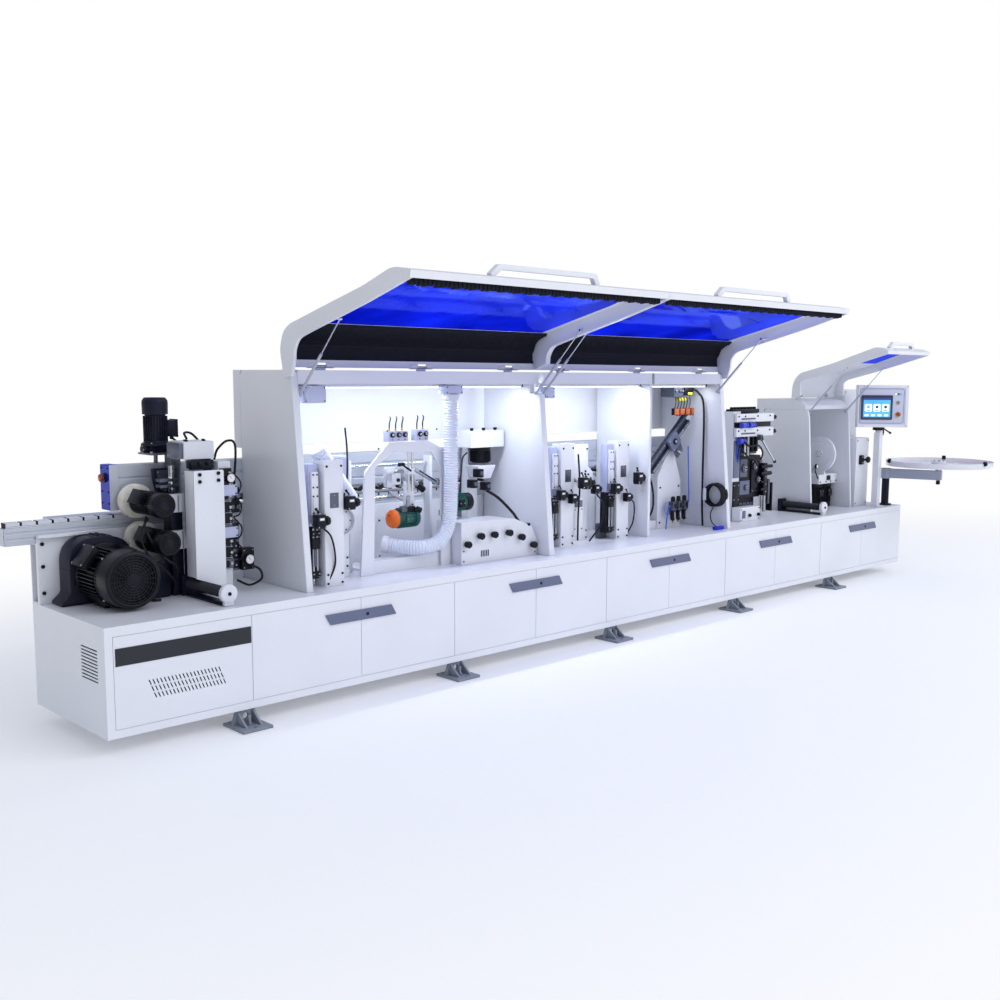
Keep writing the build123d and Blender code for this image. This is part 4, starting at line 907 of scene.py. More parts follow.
def buffing_motors():
    part = Piece("buffing_motors")
    buffing_motor(part, UPPER_BUFF)
    buffing_motor(part, LOWER_BUFF)
    # column and motor brackets
    part.box(580, 640, 472, 560, 596, 1112, navy, 3)
    part.screws("Y", 472, -1, 5, grid((626,), range(630, 1100, 52)))
    each(part.box, (547, 660, 440, 472, 1021, 1112, casting, 5),
         (570, 674, 440, 472, 835, 929, casting, 5),
         (600, 604, 438, 440, 1025, 1108, dark_grey, 0.5),
         (620, 624, 438, 440, 839, 925, dark_grey, 0.5))
    part.screws("Y", 440, -1, 5, grid((645, 562), (1100, 1034)) + grid((660, 584), (917, 847)))
    each(part.box, (540, 640, 500, 548, 1140, 1156, iron, 2),
         (540, 640, 500, 548, 1170, 1186, iron, 2))
    part.cylinder("Z", (610, 520), 14, 1112, 1250, chrome, 2)
    part.tube([(440, 460, 1010), (420, 430, 960), (450, 385, 860), (500, 370, 800),
               (560, 400, 760), (585, 440, 700)], 6, rubber)
    part.tube([(455, 470, 1000), (400, 440, 930), (410, 400, 840), (470, 380, 770),
               (560, 430, 690), (590, 460, 640)], 5, rubber)
    # dark guard under the wheels
    part.prism("Y", [(430, 596), (560, 596), (575, 690, 16), (540, 770, 20), (470, 770, 20),
                     (430, 700, 16)], 470, 540, navy, 5)
    part.done("base", "dark_steel", "buffing_unit")


def buffing_wheel(name, body, shaft, radius, node):
    """Five cloth discs with slightly frayed rims, on a flanged shaft."""
    part = Piece(name)
    x, z = shaft
    rim = [(0, 30), (0, radius - 4), (1.5, radius - 1), (4.2, radius), (6.9, radius - 1),
           (8.4, radius - 4), (8.4, 30)]
    for k in range(5):
        y = 618 + k * 8.9
        phase = random.Random(k + radius).random() * 6
        part.turned((x, y, z), (x, y + 8.4, z), rim, cloth, 96,
                    lobes=lambda a: 1 - 0.006 * (0.5 + 0.5 * math.sin(48 * a + phase)))
    for share in (0.45, 0.62, 0.8):
        part.ring((x, 617.6, z), (0, 1, 0), radius * share, 0.9, cloth, 64, 6)
    part.cylinder("Y", shaft, 30, 600, 618, steel, 2)
    part.cylinder("Y", shaft, 30, 662.5, 668, steel, 1.5)
    part.cylinder("Y", shaft, 12, 545, 600, steel, 1)
    part.nuts("Y", [shaft], 14, 668, 680)
    part.done(body, "buff_cloth", node)


def buffing_wheels():
    buffing_wheel("buffing_wheel_upper", "upper_wheel", UPPER_BUFF, 86, "buff_wheel_upper")
    buffing_wheel("buffing_wheel_lower", "lower_wheel", LOWER_BUFF, 82, "buff_wheel_lower")


# ------------------------------------------------------------------ scraper and bellows guides
def scraper():
    part = Piece("scraper")
    part.prism("Y", [(619, 698, 2), (783, 639, 10), (783, 1234, 10), (619, 1234, 4)],
               306, 312, white, 1.5)
    part.box(619, 625, 308, 400, 702, 1232, white, 1.5)
    part.screws("Y", 306, -1, 9, [(650, 1215), (752, 1218), (650, 1180), (752, 1183)])
    each(part.box, (621, 786, 400, 560, 1284, 1373, casting, 5),
         (600, 621, 410, 540, 1290, 1366, iron, 3), (630, 776, 392, 400, 1240, 1280, navy, 2))
    for x in (655, 700, 745):
        part.cylinder("Y", (x, 1262), 11, 380, 392, plastic, 2)
    part.screws("Z", 1373, 1, 9, [(645, 420), (665, 470), (740, 420), (765, 470)])
    each(part.box, (724, 780, 420, 530, 596, 1282, navy, 3),
         (627, 722, 402, 420, 900, 1232, iron, 2))
    part.screws("Y", 402, -1, 5, [(x, 930 + k * 52) for k in range(6) for x in (640, 708)])
    part.cylinder("Z", (675, 460), 16, 760, 1284, chrome, 2)
    part.cylinder("Z", (675, 460), 34, 700, 860, navy, 3)
    for x in GUIDE_XS:
        part.turned((x, 52, GUIDE_Z), (x, 80, GUIDE_Z), [
            (0, 30), (2, 42), (6, 46), (24, 46), (28, 43), (28, 6)], casting, 48)
        part.screws("Y", 54, -1, 9, [(x, GUIDE_Z)])
        each(part.box, (x - 26, x + 26, 56, 78, 596, 632, casting, 3),
             (x - 28, x + 28, 80, 470, 596, 609, navy, 3),
             (x - 40, x + 40, 440, 476, 596, 700, navy, 4))
        part.screws("Z", 632, 1, 4, [(x - 20, 66), (x + 20, 66)])
    part.done("base", "white_sheet", "scraper_unit")


def bellows_guides():
    part = Piece("bellows_guides")
    folds, length = 34, 356
    for x in GUIDE_XS:
        path = [(x, 82 + length * k / (folds * 4), GUIDE_Z) for k in range(folds * 4 + 1)]
        part.sweep(path, lambda s: 27.0 - 5.0 * abs(math.sin(math.pi * s / (length / folds))),
                   bellows_black, 20)
    part.done("base", "hose_plastic")


# ------------------------------------------------------------------ left end of the beam
def beam_end():
    part = Piece("beam_stop_button")
    button = (LIFT_Y, 1188)
    part.turned((334, *button), (350, *button), [
        (0, 12), (1.5, 17), (5, 20), (9, 20), (13, 15), (16, 11)], red, 40)
    part.cylinder("X", button, 9, 350, 390, iron, 1)
    part.done("beam_stop_button", "stop_red", "beam_estop_button")
    part = Piece("beam_end_details")
    part.pipe("X", button, 24, 10, 355.5, 363.6, plastic)
    part.screws("X", 364, -1, 4.5, [(y, z) for z in (1060, 1118, 1236) for y in (700, 776)])
    # row of bolts along the beam
    part.screws("Y", 690, -1, 5, grid(range(470, 5700, 220), (1141,)), steel)
    part.done("top_pressure", "aluminium_profile")


# ------------------------------------------------------------------ egg-crate foam in the hoods
# y, z of the hood's inside, from its lower rear edge up and forward to the window's front
HOOD_CORNERS = [(238, 1744), (260, 1835), (228, 1920), (171, 1957), (53, 1987),
                (-205, 2053), (-446, 2113), (-672, 2189), (-799, 2165)]


def smooth_line(line, reach):
    """Open line with its corners rounded."""
    rounded = [line[0]]
    for before, corner, after in zip(line, line[1:], line[2:]):
        cut = min(reach, math.dist(before, corner) * 0.45, math.dist(after, corner) * 0.45)
        rounded += bend(before, corner, after, cut, 6)
    return rounded + [line[-1]]


HOOD_LINE = smooth_line(HOOD_CORNERS, 55)


def hood_stations(step):
    """(y, z, normal's y, normal's z, distance) at even steps along the hood's inside."""
    for a, b, share, distance in stations(HOOD_LINE, step):
        run, rise = b[0] - a[0], b[1] - a[1]
        length = math.hypot(run, rise)
        yield a[0] + run * share, a[1] + rise * share, -rise / length, run / length, distance


def foam_sheet(part, x0, x1):
    """Profiled foam that follows the hood's inside, with its cones pointing inwards."""
    cell, thick, crown = 26.0, 27, 17
    line = [q for q in hood_stations(cell / 4) if 122 <= q[0] <= 266 and q[1] >= 1852]
    columns = int((x1 - x0) / (cell / 4))
    last = len(line) - 1
    normals = []
    for i in range(last + 1):  # taken over several stations, to soften the bends
        before, after = line[max(0, i - 3)], line[min(last, i + 3)]
        run, rise = after[0] - before[0], after[1] - before[1]
        length = math.hypot(run, rise)
        normals.append((-rise / length, run / length))
    points, faces, rows, back = [], [], [], []
    for i, (y, z, _, _, distance) in enumerate(line):
        end_fade = min(1.0, min(i, last - i) / 2.0)
        rows.append([])
        for k in range(columns + 1):
            x = x0 + (x1 - x0) * k / columns
            fade = min(1.0, min(k, columns - k) / 2.0, end_fade)
            cone = 0.5 - 0.5 * (math.cos(2 * math.pi * (x - x0) / cell)
                                * math.cos(2 * math.pi * distance / cell))
            deep = 3.6 + (thick - crown) * (0.75 + 0.25 * fade) + crown * cone * fade
            rows[-1].append(len(points))
            points.append((x, y + normals[i][0] * deep, z + normals[i][1] * deep))
    for (y, z, *_), normal in zip(line, normals):
        back.append((len(points), len(points) + 1))
        points += [(x, y + normal[0] * 3.4, z + normal[1] * 3.4) for x in (x0, x1)]
    for lower, upper in zip(rows, rows[1:]):
        for k in range(columns):
            faces.append((lower[k], lower[k + 1], upper[k + 1], upper[k]))
    for i in range(last):
        (left, right), (next_left, next_right) = back[i], back[i + 1]
        faces += [(left, next_left, next_right, right),
                  (rows[i][0], rows[i + 1][0], next_left, left),
                  (rows[i][-1], right, next_right, rows[i + 1][-1])]
    faces.append([*back[0], *rows[0][::-1]])
    faces.append([*back[-1][::-1], *rows[-1]])
    part.add(points, faces, foam)


def hood_foams():
    for key, left, right in (("left", 1092.0, 2921.0), ("centre", 2923.0, 4850.0)):
        part = Piece(f"hood_{key}_sound_foam")
        x0, x1 = left + 19.5, right - 19.5
        foam_sheet(part, x0, x1)
        # thin pressed lining on the upright part
        low = [q for q in hood_stations(13.0) if 1776 <= q[1] <= 1862 and q[0] > 180]
        outer = [(q[0] + q[2] * 3.4, q[1] + q[3] * 3.4) for q in low]
        inner = []
        for i, q in enumerate(low):
            deep = 6.2 if i % 2 else 4.6
            inner.append((q[0] + q[2] * deep, q[1] + q[3] * deep))
        part.prism("X", outer + inner[::-1], x0, x1, foam, 0)
        # crenellated strip along the window's front edge
        k, x = 0, left + 22
        while x + 26 < right - 20:
            drop = 3 * math.sin(k * 1.7)
            part.prism("X", [(-768, 2104 + drop), (-768, 2166), (-745, 2170),
                             (-745, 2100 + drop)], x, x + 21, foam, 3)
            x += 26
            k += 1
        part.prism("X", [(-770, 2150), (-770, 2167), (-744, 2171), (-744, 2152)],
                   left + 20, right - 20, foam, 1)
        part.done(f"hood_{key}", "foam_black", f"hood_{key}_foam", smooth=60)


# ------------------------------------------------------------------ columns and slides
def column(part, x0, x1, y0, y1, z0, z1):
    """Folded column, open to the rear, with a cap, a foot and a plate on its front."""
    wall = 5
    part.prism("Z", [
        (x0, y0, 7), (x1, y0, 7), (x1, y1), (x1 - wall, y1), (x1 - wall, y0 + wall, 2),
        (x0 + wall, y0 + wall, 2), (x0 + wall, y1), (x0, y1)], z0, z1, white, 0.8)
    part.box(x0 + wall + 0.5, x1 - wall - 0.5, y0 + wall + 0.5, y1 - 1, z1 - 9, z1 - 4,
             white, 0.8)
    part.screws("Y", y0, -1, 6, [(x, z) for z in (z0 + 17, z0 + 65, z1 - 30)
                                 for x in (x0 + 16, x1 - 16)])
    each(part.box, (x0 - 4, x1 + 4, y0 + 8, y1, z0, z0 + 8, white, 2),
         (x0 + 34, x1 - 34, y0 - 1.6, y0 + 1, z1 - 250, z1 - 170, iron, 0.6))
    part.screws("Y", y0 - 1.5, -1, 3.2, grid(((x0 + x1) / 2,), (z1 - 236, z1 - 184)), steel)


def unit_columns():
    part = Piece("unit_columns_look")
    for row in ((1275, 1398, 150, 250, DECK, 1262), (1404, 1560, 330, 420, 640, 1270),
                (3219, 3343, 291, 380, DECK, 1271), (3775, 3900, 291, 380, DECK, 1271),
                (3420, 3620, 420, 500, DECK, 1250)):
        column(part, *row)
    part.box(1404, 1560, 330, 420, DECK, 639, casting, 3)
    part.done("base", "white_sheet", "unit_columns")


def slide_block(part, x0, x1, y0, y1, z0, z1):
    """Guide body, black below as painted shade and lavender above, with two guide bars and clamp
    blocks on its front.
    """
    middle = z0 + (z1 - z0) * 0.46

    def across(*shares):
        return [x0 + (x1 - x0) * share for share in shares]

    # the black lower half of the body is painted shade
    each(part.box, (x0, x1, y0, y1, z0, middle, black, 3),
         (x0, x1, y0, y1, middle + 1, z1, lavender, 3),
         (x0 + 8, x1 - 6, y0 - 16, y0 - 1, middle + 60, z1 - 40, white, 3),
         (x0 + 14, x1 - 12, y0 - 22, y0 - 15.5, middle + 80, middle + 150, casting, 2))
    part.screws("Y", y0 - 16, -1, 4.6, [
        (x, z) for z in (middle + 72, middle + 160, z1 - 120, z1 - 54)
        for x in across(0.32, 0.74)])
    for x in across(0.3, 0.72):
        part.rod((x, y0 - 9, z0 + 12), (x, y0 - 9, middle - 8), 6, steel)
    for z in (z0 + 14, middle - 50):
        part.box(x0 + 2, x1 - 2, y0 - 20, y0 + 2, z, z + 30, black, 2)
        part.screws("Y", y0 - 20, -1, 4.2, grid(across(0.2, 0.8), (z + 15,)), steel)
    part.box(x0 + 6, x1 - 4, y0 - 24, y0 - 15, middle + 8, middle + 18, plastic, 2)


def unit_slides():
    part = Piece("unit_slides_look")
    slide_block(part, 1205, 1262, 190, 262, 640, 1245)
    part.box(1195, 1275, 262, 300, DECK, 640, dark_grey, 3)
    slide_block(part, 3150, 3206, 320, 380, 640, 1250)
    slide_block(part, 3700, 3762, 320, 380, 640, 1250)
    each(part.box, (3150, 3219, 380, 420, DECK, 700, dark_grey, 3),
         (3700, 3775, 380, 420, DECK, 700, dark_grey, 3),
         (1262, 1275, 200, 240, 700, 1200, steel, 1.5),
         (3206, 3219, 330, 370, 700, 1200, steel, 1.5),
         (3762, 3775, 330, 370, 700, 1200, steel, 1.5))
    each(part.rod, ((1660, 470, 1190), (2230, 470, 1190), 9, chrome),
         ((1660, 490, 1000), (2230, 490, 1000), 9, chrome))
    each(part.box, (1640, 1660, 440, 500, DECK, 1230, casting, 3),
         (2230, 2250, 440, 500, DECK, 1230, casting, 3))
    # trimming motors: one upright, one lying along X
    upright, lying = (2740, 550), (416, 940)
    part.cylinder("Z", upright, 56, 1160, 1256, black, 3, 48)
    part.fins("Z", upright, 52, 66, 1168, 1236, 30, 3.2, black)
    part.cylinder("Z", upright, 66, 1238, 1260, black, 3, 48)
    part.cylinder("X", lying, 46, 2330, 2520, green, 3, 44)
    part.fins("X", lying, 42, 54, 2345, 2470, 30, 3.0, green)
    part.cylinder("X", lying, 54, 2474, 2520, black, 4, 44)
    part.cylinder("X", lying, 52, 2330, 2344, green, 2, 44)
    part.box(2396, 2440, 352, 384, 915, 962, black, 3)
    part.screws("Y", 352, -1, 3.4, [(2402, 938), (2434, 938)], steel)
    part.box(2400, 2470, 421, 560, 847, 884, iron, 3)
    # bearing of the rocking arm between two cheeks that mirror each other
    part.pipe("Y", ARM_BEARING, 46, 12.5, 500, 540, steel, 44)
    for side in (-1, 1):
        cheek = [(90, 1050, 14), (26, 1050), (38, 1080), (48, 1110), (38, 1140), (26, 1170),
                 (90, 1170, 14)]
        part.prism("Y", [(ARM_BEARING[0] + side * x, *rest) for x, *rest in cheek],
                   502, 538, casting, 2)
    # small heads beside the slides
    for x, y, z in ((1234, 156, 830), (3180, 286, 850), (3732, 286, 850)):
        part.box(x - 24, x + 24, y + 14, y + 40, z - 30, z + 30, black, 4)
        part.rod((x - 6, y + 16, z - 30), (x - 6, y + 16, z - 120), 7, iron)
    # white slanting duct with its clamp screws
    part.prism("Y", [(3372, 1250, 20), (3420, 1250, 20), (3640, 1060, 20), (3640, 985, 20),
                     (3540, 975, 14), (3440, 1040, 20)], 392, 418, white, 4)
    part.screws("Y", 392, -1, 7, [(3560, 1070), (3588, 1048), (3560, 1030), (3612, 1020)])
    part.done("base", "dark_steel", "unit_slides")


def dust_mouths():
    part = Piece("dust_mouths_look")
    part.pipe("Y", DUST_MOUTH, 78, 70, 262, 329, white, 56, 2)
    part.ring(on_axis("Y", DUST_MOUTH, 266), (0, 1, 0), 75, 5, casting, 56, 10)
    part.cylinder("Y", DUST_MOUTH, 69.5, 284, 328, casting, 3, 48)
    part.box(1404, 1560, 322, 329, 1030, 1262, lavender, 2)
    part.screws("Y", 284, -1, 4, circle(DUST_MOUTH, 56, 6))
    part.hose([(1322, 276, 1316), (1392, 276, 1218), (1462, 276, 1126), (1534, 276, 1030)],
              46, 12, 2.8)
    part.prism("Y", [(3350, 660, 4), (3400, 640, 20), (3440, 720, 30), (3440, 905, 5),
                     (3350, 905, 5)], 300, 380, white, 4)
    part.box(3358, 3432, 296, 301, 846, 890, slate, 1)
    part.screws("Y", 300, -1, 4, grid((3362, 3428), (700, 830)))
    part.prism("Y", [(2660, 1146, 6), (2820, 1146, 6), (2775, 1062, 10), (2705, 1062, 10)],
               490, 610, white, 4)
    part.done("base", "white_sheet", "dust_hoods")


# ------------------------------------------------------------------ corner unit
def corner_details():
    part = Piece("corner_frame_details")
    part.screws("Y", 280, -1, 5, grid((1728,), (700, 900, 1100, 1300))
                + [(1790, 1398), (2150, 1398), (2230, 1300)])
    part.screws("Y", 192, -1, 4.5, grid((2282, 2878), (615, 676)))
    for x in (2640, 2740, 2840):
        part.turned((x, 520, 1363), (x, 520, 1382), [
            (0, 9), (6, 9), (7, 12), (16, 12), (19, 9), (19, 4), (14, 3)], plastic)
    for k in range(5):  # vent slots, shallow boxes in dark painted shade
        part.box(2420 + 14 * k, 2428 + 14 * k, 190.4, 193, 630, 668, inside, 0.6)
    part.done("base", "knob_black")


def corner_arm():
    part = Piece("corner_arm_look")
    part.cylinder("Y", ARM_BEARING, 34, 398, 440, steel, 3, 48)
    part.cylinder("Y", ARM_BEARING, 11.8, 440, 520, chrome, 1, 32)
    part.nuts("Y", [ARM_BEARING], 16, 388, 399, iron)
    part.prism("Y", [(2016, 930, 8), (2084, 930, 8), (2080, 1100, 20), (2050, 1140, 20),
                     (2020, 1100, 20)], 404, 428, casting, 3)
    part.screws("Y", 404, -1, 5, [(2032, 955), (2068, 955), (2034, 1050), (2066, 1050)])
    each(part.rod, ((2050, 412, 1110), (2150, 412, 1040), 14, steel),
         ((2110, 412, 1068), (2158, 412, 1034), 20, black))
    motor = (416, 878)
    part.cylinder("X", motor, 49, 1945, 2094, green, 3, 44)
    part.fins("X", motor, 45, 58, 1958, 2070, 30, 3.0, green)
    part.cylinder("X", motor, 57, 2072, 2096, green, 3, 44)
    part.turned((1946, *motor), (1906, *motor), [
        (0, 50), (3, 54), (22, 54), (30, 50), (36, 42), (40, 28), (32, 24)], orange, 48)
    part.box(2000, 2070, 376, 404, 900, 948, black, 5)
    part.rod((2078, 380, 930), (2104, 372, 918), 18, black)
    part.box(1966, 2006, 372, 400, 918, 952, iron, 3)
    part.rod((2020, 392, 946), (2034, 392, 1010), 9, steel)
    each(part.box, (1990, 2040, 356, 374, 856, 900, green, 3),
         (1962, 2080, 404, 428, 922, 940, iron, 2))
    part.screws("Y", 356, -1, 3.5, [(1998, 878), (2032, 878)], steel)
    part.cylinder("X", motor, 16, 2094, 2112, steel, 1.5, 28)
    part.done("corner_swing_arm", "dark_steel", "corner_arm")


# ------------------------------------------------------------------ adjusting knobs
def adjuster(part, x, y, z, size):
    """Dial block with a counter window, clamp lever and lobed hand wheel."""
    part.box(x - 34 * size, x + 14 * size, y, y + 46 * size, z - 33 * size, z + 33 * size,
             black, 4 * size)
    part.box(x - 26 * size, x + 4 * size, y - 2.2, y + 1, z + 4 * size, z + 20 * size, iron, 0.8)
    part.box(x - 23 * size, x + size, y - 3, y - 1, z + 7 * size, z + 17 * size, dial, 0.4)
    middle = y + 23 * size
    part.cylinder("X", (middle, z), 9 * size, x + 13 * size, x + 22 * size, steel, 1, 24)
    wheel = [(0, 14), (3, 21), (6, 23), (19, 23), (24, 19), (26, 10), (23, 8)]
    part.turned((x + 20 * size, middle, z), (x + 46 * size, middle, z),
                [(a * size, r * size) for a, r in wheel], plastic, 48, lobes=lobed(8, 0.12))
    pivot = x - 10 * size
    part.rod((pivot, middle, z + 32 * size), (pivot, middle, z + 42 * size), 6 * size, steel)
    part.rod((pivot, middle, z + 40 * size), (x - 34 * size, middle - 10 * size, z + 60 * size),
             4.5 * size, plastic)
    part.turned((x - 32 * size, middle - 9 * size, z + 58 * size),
                (x - 40 * size, middle - 12 * size, z + 66 * size),
                [(a * size, r * size) for a, r in ((0, 4), (3, 7), (7, 7), (10, 3))],
                plastic, 20)
    part.screws("Y", y, -1, 3.6 * size, grid((x - 28 * size, x + 8 * size), (z - 26 * size,)),
                steel)


def adjusting_knobs():
    part = Piece("adjusting_knobs_look")
    for row in (  # x, y, z, size
            (1236, 100, 952, 1.1), (1440, 120, 1033, 1.1), (3193, 236, 943, 1.0),
            (3290, 226, 915, 0.95), (3345, 180, 1018, 1.08), (3432, 229, 1004, 1.08),
            (3515, 229, 962, 0.95), (3734, 236, 950, 1.08), (3842, 229, 886, 0.9),
            (3894, 170, 1021, 1.1), (3962, 229, 1001, 1.0)):
        adjuster(part, *row)
    for x, z in ((2296, 718), (2400, 759), (2510, 758), (2634, 758), (2740, 722), (2845, 664)):
        part.rod((x, 192, z), (x, 166, z), 9, black)
        part.turned((x, 184, z), (x, 172, z), [(0, 17), (3, 19), (9, 19), (12, 15)], black, 36)
        part.turned((x, 169, z), (x, 148, z), [
            (0, 15), (2, 20), (5, 21.5), (15, 21.5), (20, 18), (21, 9), (18, 7)],
            plastic, 48, lobes=lobed(8, 0.13))
    for x in (5310, 5430):
        part.turned((x, 250, 640), (x, 232, 640), [
            (0, 11), (3, 14), (14, 14), (18, 11), (18, 5), (15, 4)],
            plastic, 40, lobes=lobed(6, 0.12))
    part.done("base", "knob_black", "adjusting_knobs")


# ------------------------------------------------------------------ end-cut unit
# The rail rises to the right in the x-z plane.
RAIL_SLOPE = math.radians(41.0)
RAIL_X0, RAIL_X1, RAIL_Z0 = 4299.0, 4716.0, 1020.0
RAIL_RISE = (RAIL_X1 - RAIL_X0) * math.tan(RAIL_SLOPE)


def rail_point(share, off):
    """x, z at a share of the rail's length and `off` square to it, upwards."""
    return (RAIL_X0 + (RAIL_X1 - RAIL_X0) * share - math.sin(RAIL_SLOPE) * off,
            RAIL_Z0 + RAIL_RISE * share + math.cos(RAIL_SLOPE) * off)


def rail_bar(half, off):
    """Full-length bar, `half` either side of the offset."""
    low, high = off - half, off + half
    return [rail_point(0, low), rail_point(1, low), rail_point(1, high), rail_point(0, high)]


def carriage_point(along, off, *radius):
    """x, z, and corner radius if any, from the carriage's place on the rail."""
    x, z = rail_point(0.55, off)
    return (x + math.cos(RAIL_SLOPE) * along, z + math.sin(RAIL_SLOPE) * along, *radius)


def endcut_guide():
    part = Piece("endcut_guide_look")
    part.prism("Y", rail_bar(14, 0), 398, 420, iron, 2)
    part.prism("Y", rail_bar(10, 60), 398, 420, iron, 2)
    part.prism("Y", rail_bar(46, 30), 421, 429, dark_grey, 2)
    part.prism("Y", rail_bar(4, 0), 394.5, 399, steel, 0.8)
    part.screws("Y", 398, -1, 4, [rail_point((k + 0.5) / 9, 60) for k in range(9)], steel)
    part.prism("Y", [(4395, DECK, 4), (4662, DECK, 4), (4662, 940, 14), (4575, 1150, 16),
                     (4500, 1150, 16), (4390, 985, 16)], 430, 500, white, 5)
    part.screws("Y", 430, -1, 7, [(4420, 640), (4636, 640), (4420, 900), (4636, 900)])
    each(part.box, (4100, 4180, 430, 500, DECK, 1010, lavender, 4),
         (4112, 4168, 426, 431, 940, 996, plastic, 2))
    part.screws("Y", 430, -1, 5, grid((4116, 4164), (660, 760)))
    part.box(4180, 4395, 440, 480, DECK, 660, casting, 3)
    part.done("base", "dark_steel", "endcut_guide")


def endcut_carriage():
    part = Piece("endcut_carriage_look")
    at = carriage_point
    part.prism("Y", [at(-60, -28, 8), at(60, -28, 8), at(60, 78, 10), at(-60, 78, 10)],
               372, 396, slate, 3)
    part.prism("Y", [at(-34, 18), at(34, 18), at(34, 46), at(-34, 46)], 396, 424, iron, 1.5)
    part.prism("Y", [at(-50, -95, 6), at(30, -95, 6), at(50, -29), at(-50, -29)],
               376, 392, dark_grey, 2)
    part.screws("Y", 372, -1, 5, [at(-46, -14), at(46, -14), at(-46, 64), at(46, 64)], steel)
    part.screws("Y", 376, -1, 5, [at(-30, -80), at(14, -80)], steel)
    part.cylinder("Y", at(0, 25), 24, 364, 373, black, 2, 36)
    part.cylinder("Y", at(0, 25), 11, 358, 365, steel, 1.5, 24)
    part.rod(on_axis("Y", at(-10, -86), 366), on_axis("Y", at(-26, -40), 366), 9, chrome)
    part.done("saw_carriage", "dark_steel", "endcut_carriage")


# ------------------------------------------------------------------ pneumatics
def air_preparation(part):
    """Three regulators with bowls, on a lavender plate."""
    for x in (4455, 4520, 4590):
        middle = x + 22
        part.box(x, x + 44, 330, 374, 735, 800, iron, 4)
        part.box(x + 7, x + 37, 328, 331, 752, 786, plastic, 1)
        part.turned((middle, 352, 800), (middle, 352, 838), [
            (0, 13), (3, 17), (24, 17), (30, 15), (36, 12), (38, 6)],
            plastic, 40, lobes=lobed(10, 0.08))
        part.turned((middle, 352, 735), (middle, 352, 655), [
            (0, 20), (4, 20), (5, 18.5), (60, 18.5), (72, 15), (76, 8), (80, 5)], black, 36)
        part.box(x + 20, x + 24, 331, 334, 676, 724, dial, 0.5)
        part.rod((middle, 352, 655), (middle, 352, 640), 5, brass)
    each(part.rod, ((4498, 352, 768), (4521, 352, 768), 9, steel),
         ((4563, 352, 768), (4591, 352, 768), 9, steel))
    part.box(4440, 4650, 374, 390, 700, 800, lavender, 2)
    part.tube([(4448, 352, 768), (4424, 350, 760), (4412, 352, 700), (4408, 360, 600)],
              5, air_blue)
    part.tube([(4636, 352, 768), (4662, 350, 790), (4672, 360, 900), (4670, 372, 1200)],
              5, air_blue)


def terminal_row(part):
    """Boxes under the ceiling with yellow patches, and the terminals below them."""
    each(part.box, (4490, 4600, 372, 500, 1560, 1645, dark_grey, 4),
         (4602, 4708, 364, 500, 1572, 1645, black, 4),
         (4640, 4694, 361.6, 365, 1578, 1596, yellow, 1),
         (4560, 4640, 376, 420, 1532, 1556, yellow, 3))
    for x in (4508, 4556, 4584):
        part.cylinder("Y", (x, 1604), 12, 364, 373, iron, 2, 24)
    part.box(4490, 4730, 372, 396, 1430, 1480, black, 2)
    for k in range(14):
        x = 4496 + 16.4 * k
        part.box(x, x + 14, 364, 374, 1433, 1477, orange if k % 4 != 3 else plastic, 1.2)
        part.screws("Y", 364, -1, 2.6, [(x + 7, 1466), (x + 7, 1444)], steel)
    for k in range(7):
        x = 4508 + 32 * k
        part.tube([(x, 372, 1436), (x + 3, 365, 1428), (x + 9, 363, 1425), (x + 15, 365, 1428),
                   (x + 18, 372, 1436)], 2.6, plastic, 8, 6)
    for k in range(6):
        x = 4500 + 34 * k
        part.tube([(x, 372, 1562), (x + 3, 366, 1530), (x - 2, 368, 1500), (x, 376, 1477)],
                  3.2, plastic, 8, 6)


def arch_pneumatics(part):
    """Valve blocks on the corner unit's arch and small cylinders inside it."""
    for x0, x1, top in ((1800, 1935, 1396), (2000, 2085, 1400)):
        part.box(x0, x1, 276, 330, 1336, top, lavender, 3)
        count = max(2, int((x1 - x0) / 40))
        for k in range(count):
            x = x0 + (x1 - x0) * (k + 0.5) / count
            part.cylinder("Y", (x, 1374), 15, 266, 277, plastic, 2, 28)
            part.cylinder("Y", (x, 1374), 7, 262, 267, steel, 1, 20)
            part.screws("Y", 276, -1, 3.4, [(x, 1347)])
            part.rod((x, 303, top), (x, 303, top + 12), 5.5, brass)
            part.tube([(x, 303, top + 10), (x + 4, 306, top + 40), (x + 24, 322, top + 66),
                       (x + 60, 372, top + 74)], 4, plastic, 8, 6)
    each(part.rod, ((2030, 330, 1168), (2196, 330, 1078), 13, steel),
         ((2050, 316, 1160), (2180, 316, 1090), 4, plastic),
         ((1850, 336, 1046), (1940, 336, 1000), 10, steel),
         ((1992, 344, 1268), (1992, 344, 1040), 7, chrome),
         ((2020, 344, 1268), (2020, 344, 1040), 7, chrome))
    part.box(1978, 2036, 330, 360, 1140, 1172, casting, 3)
    part.rod((1940, 330, 1196), (2000, 330, 1160), 6, black)
    part.cylinder("Y", (1912, 1200), 11, 318, 336, plastic, 2, 24)
    part.cylinder("Y", (1936, 1200), 11, 318, 336, plastic, 2, 24)
    part.box(1886, 1930, 336, 362, 1086, 1150, casting, 3)
    part.cylinder("Y", (1908, 1112), 11, 328, 337, plastic, 2, 24)


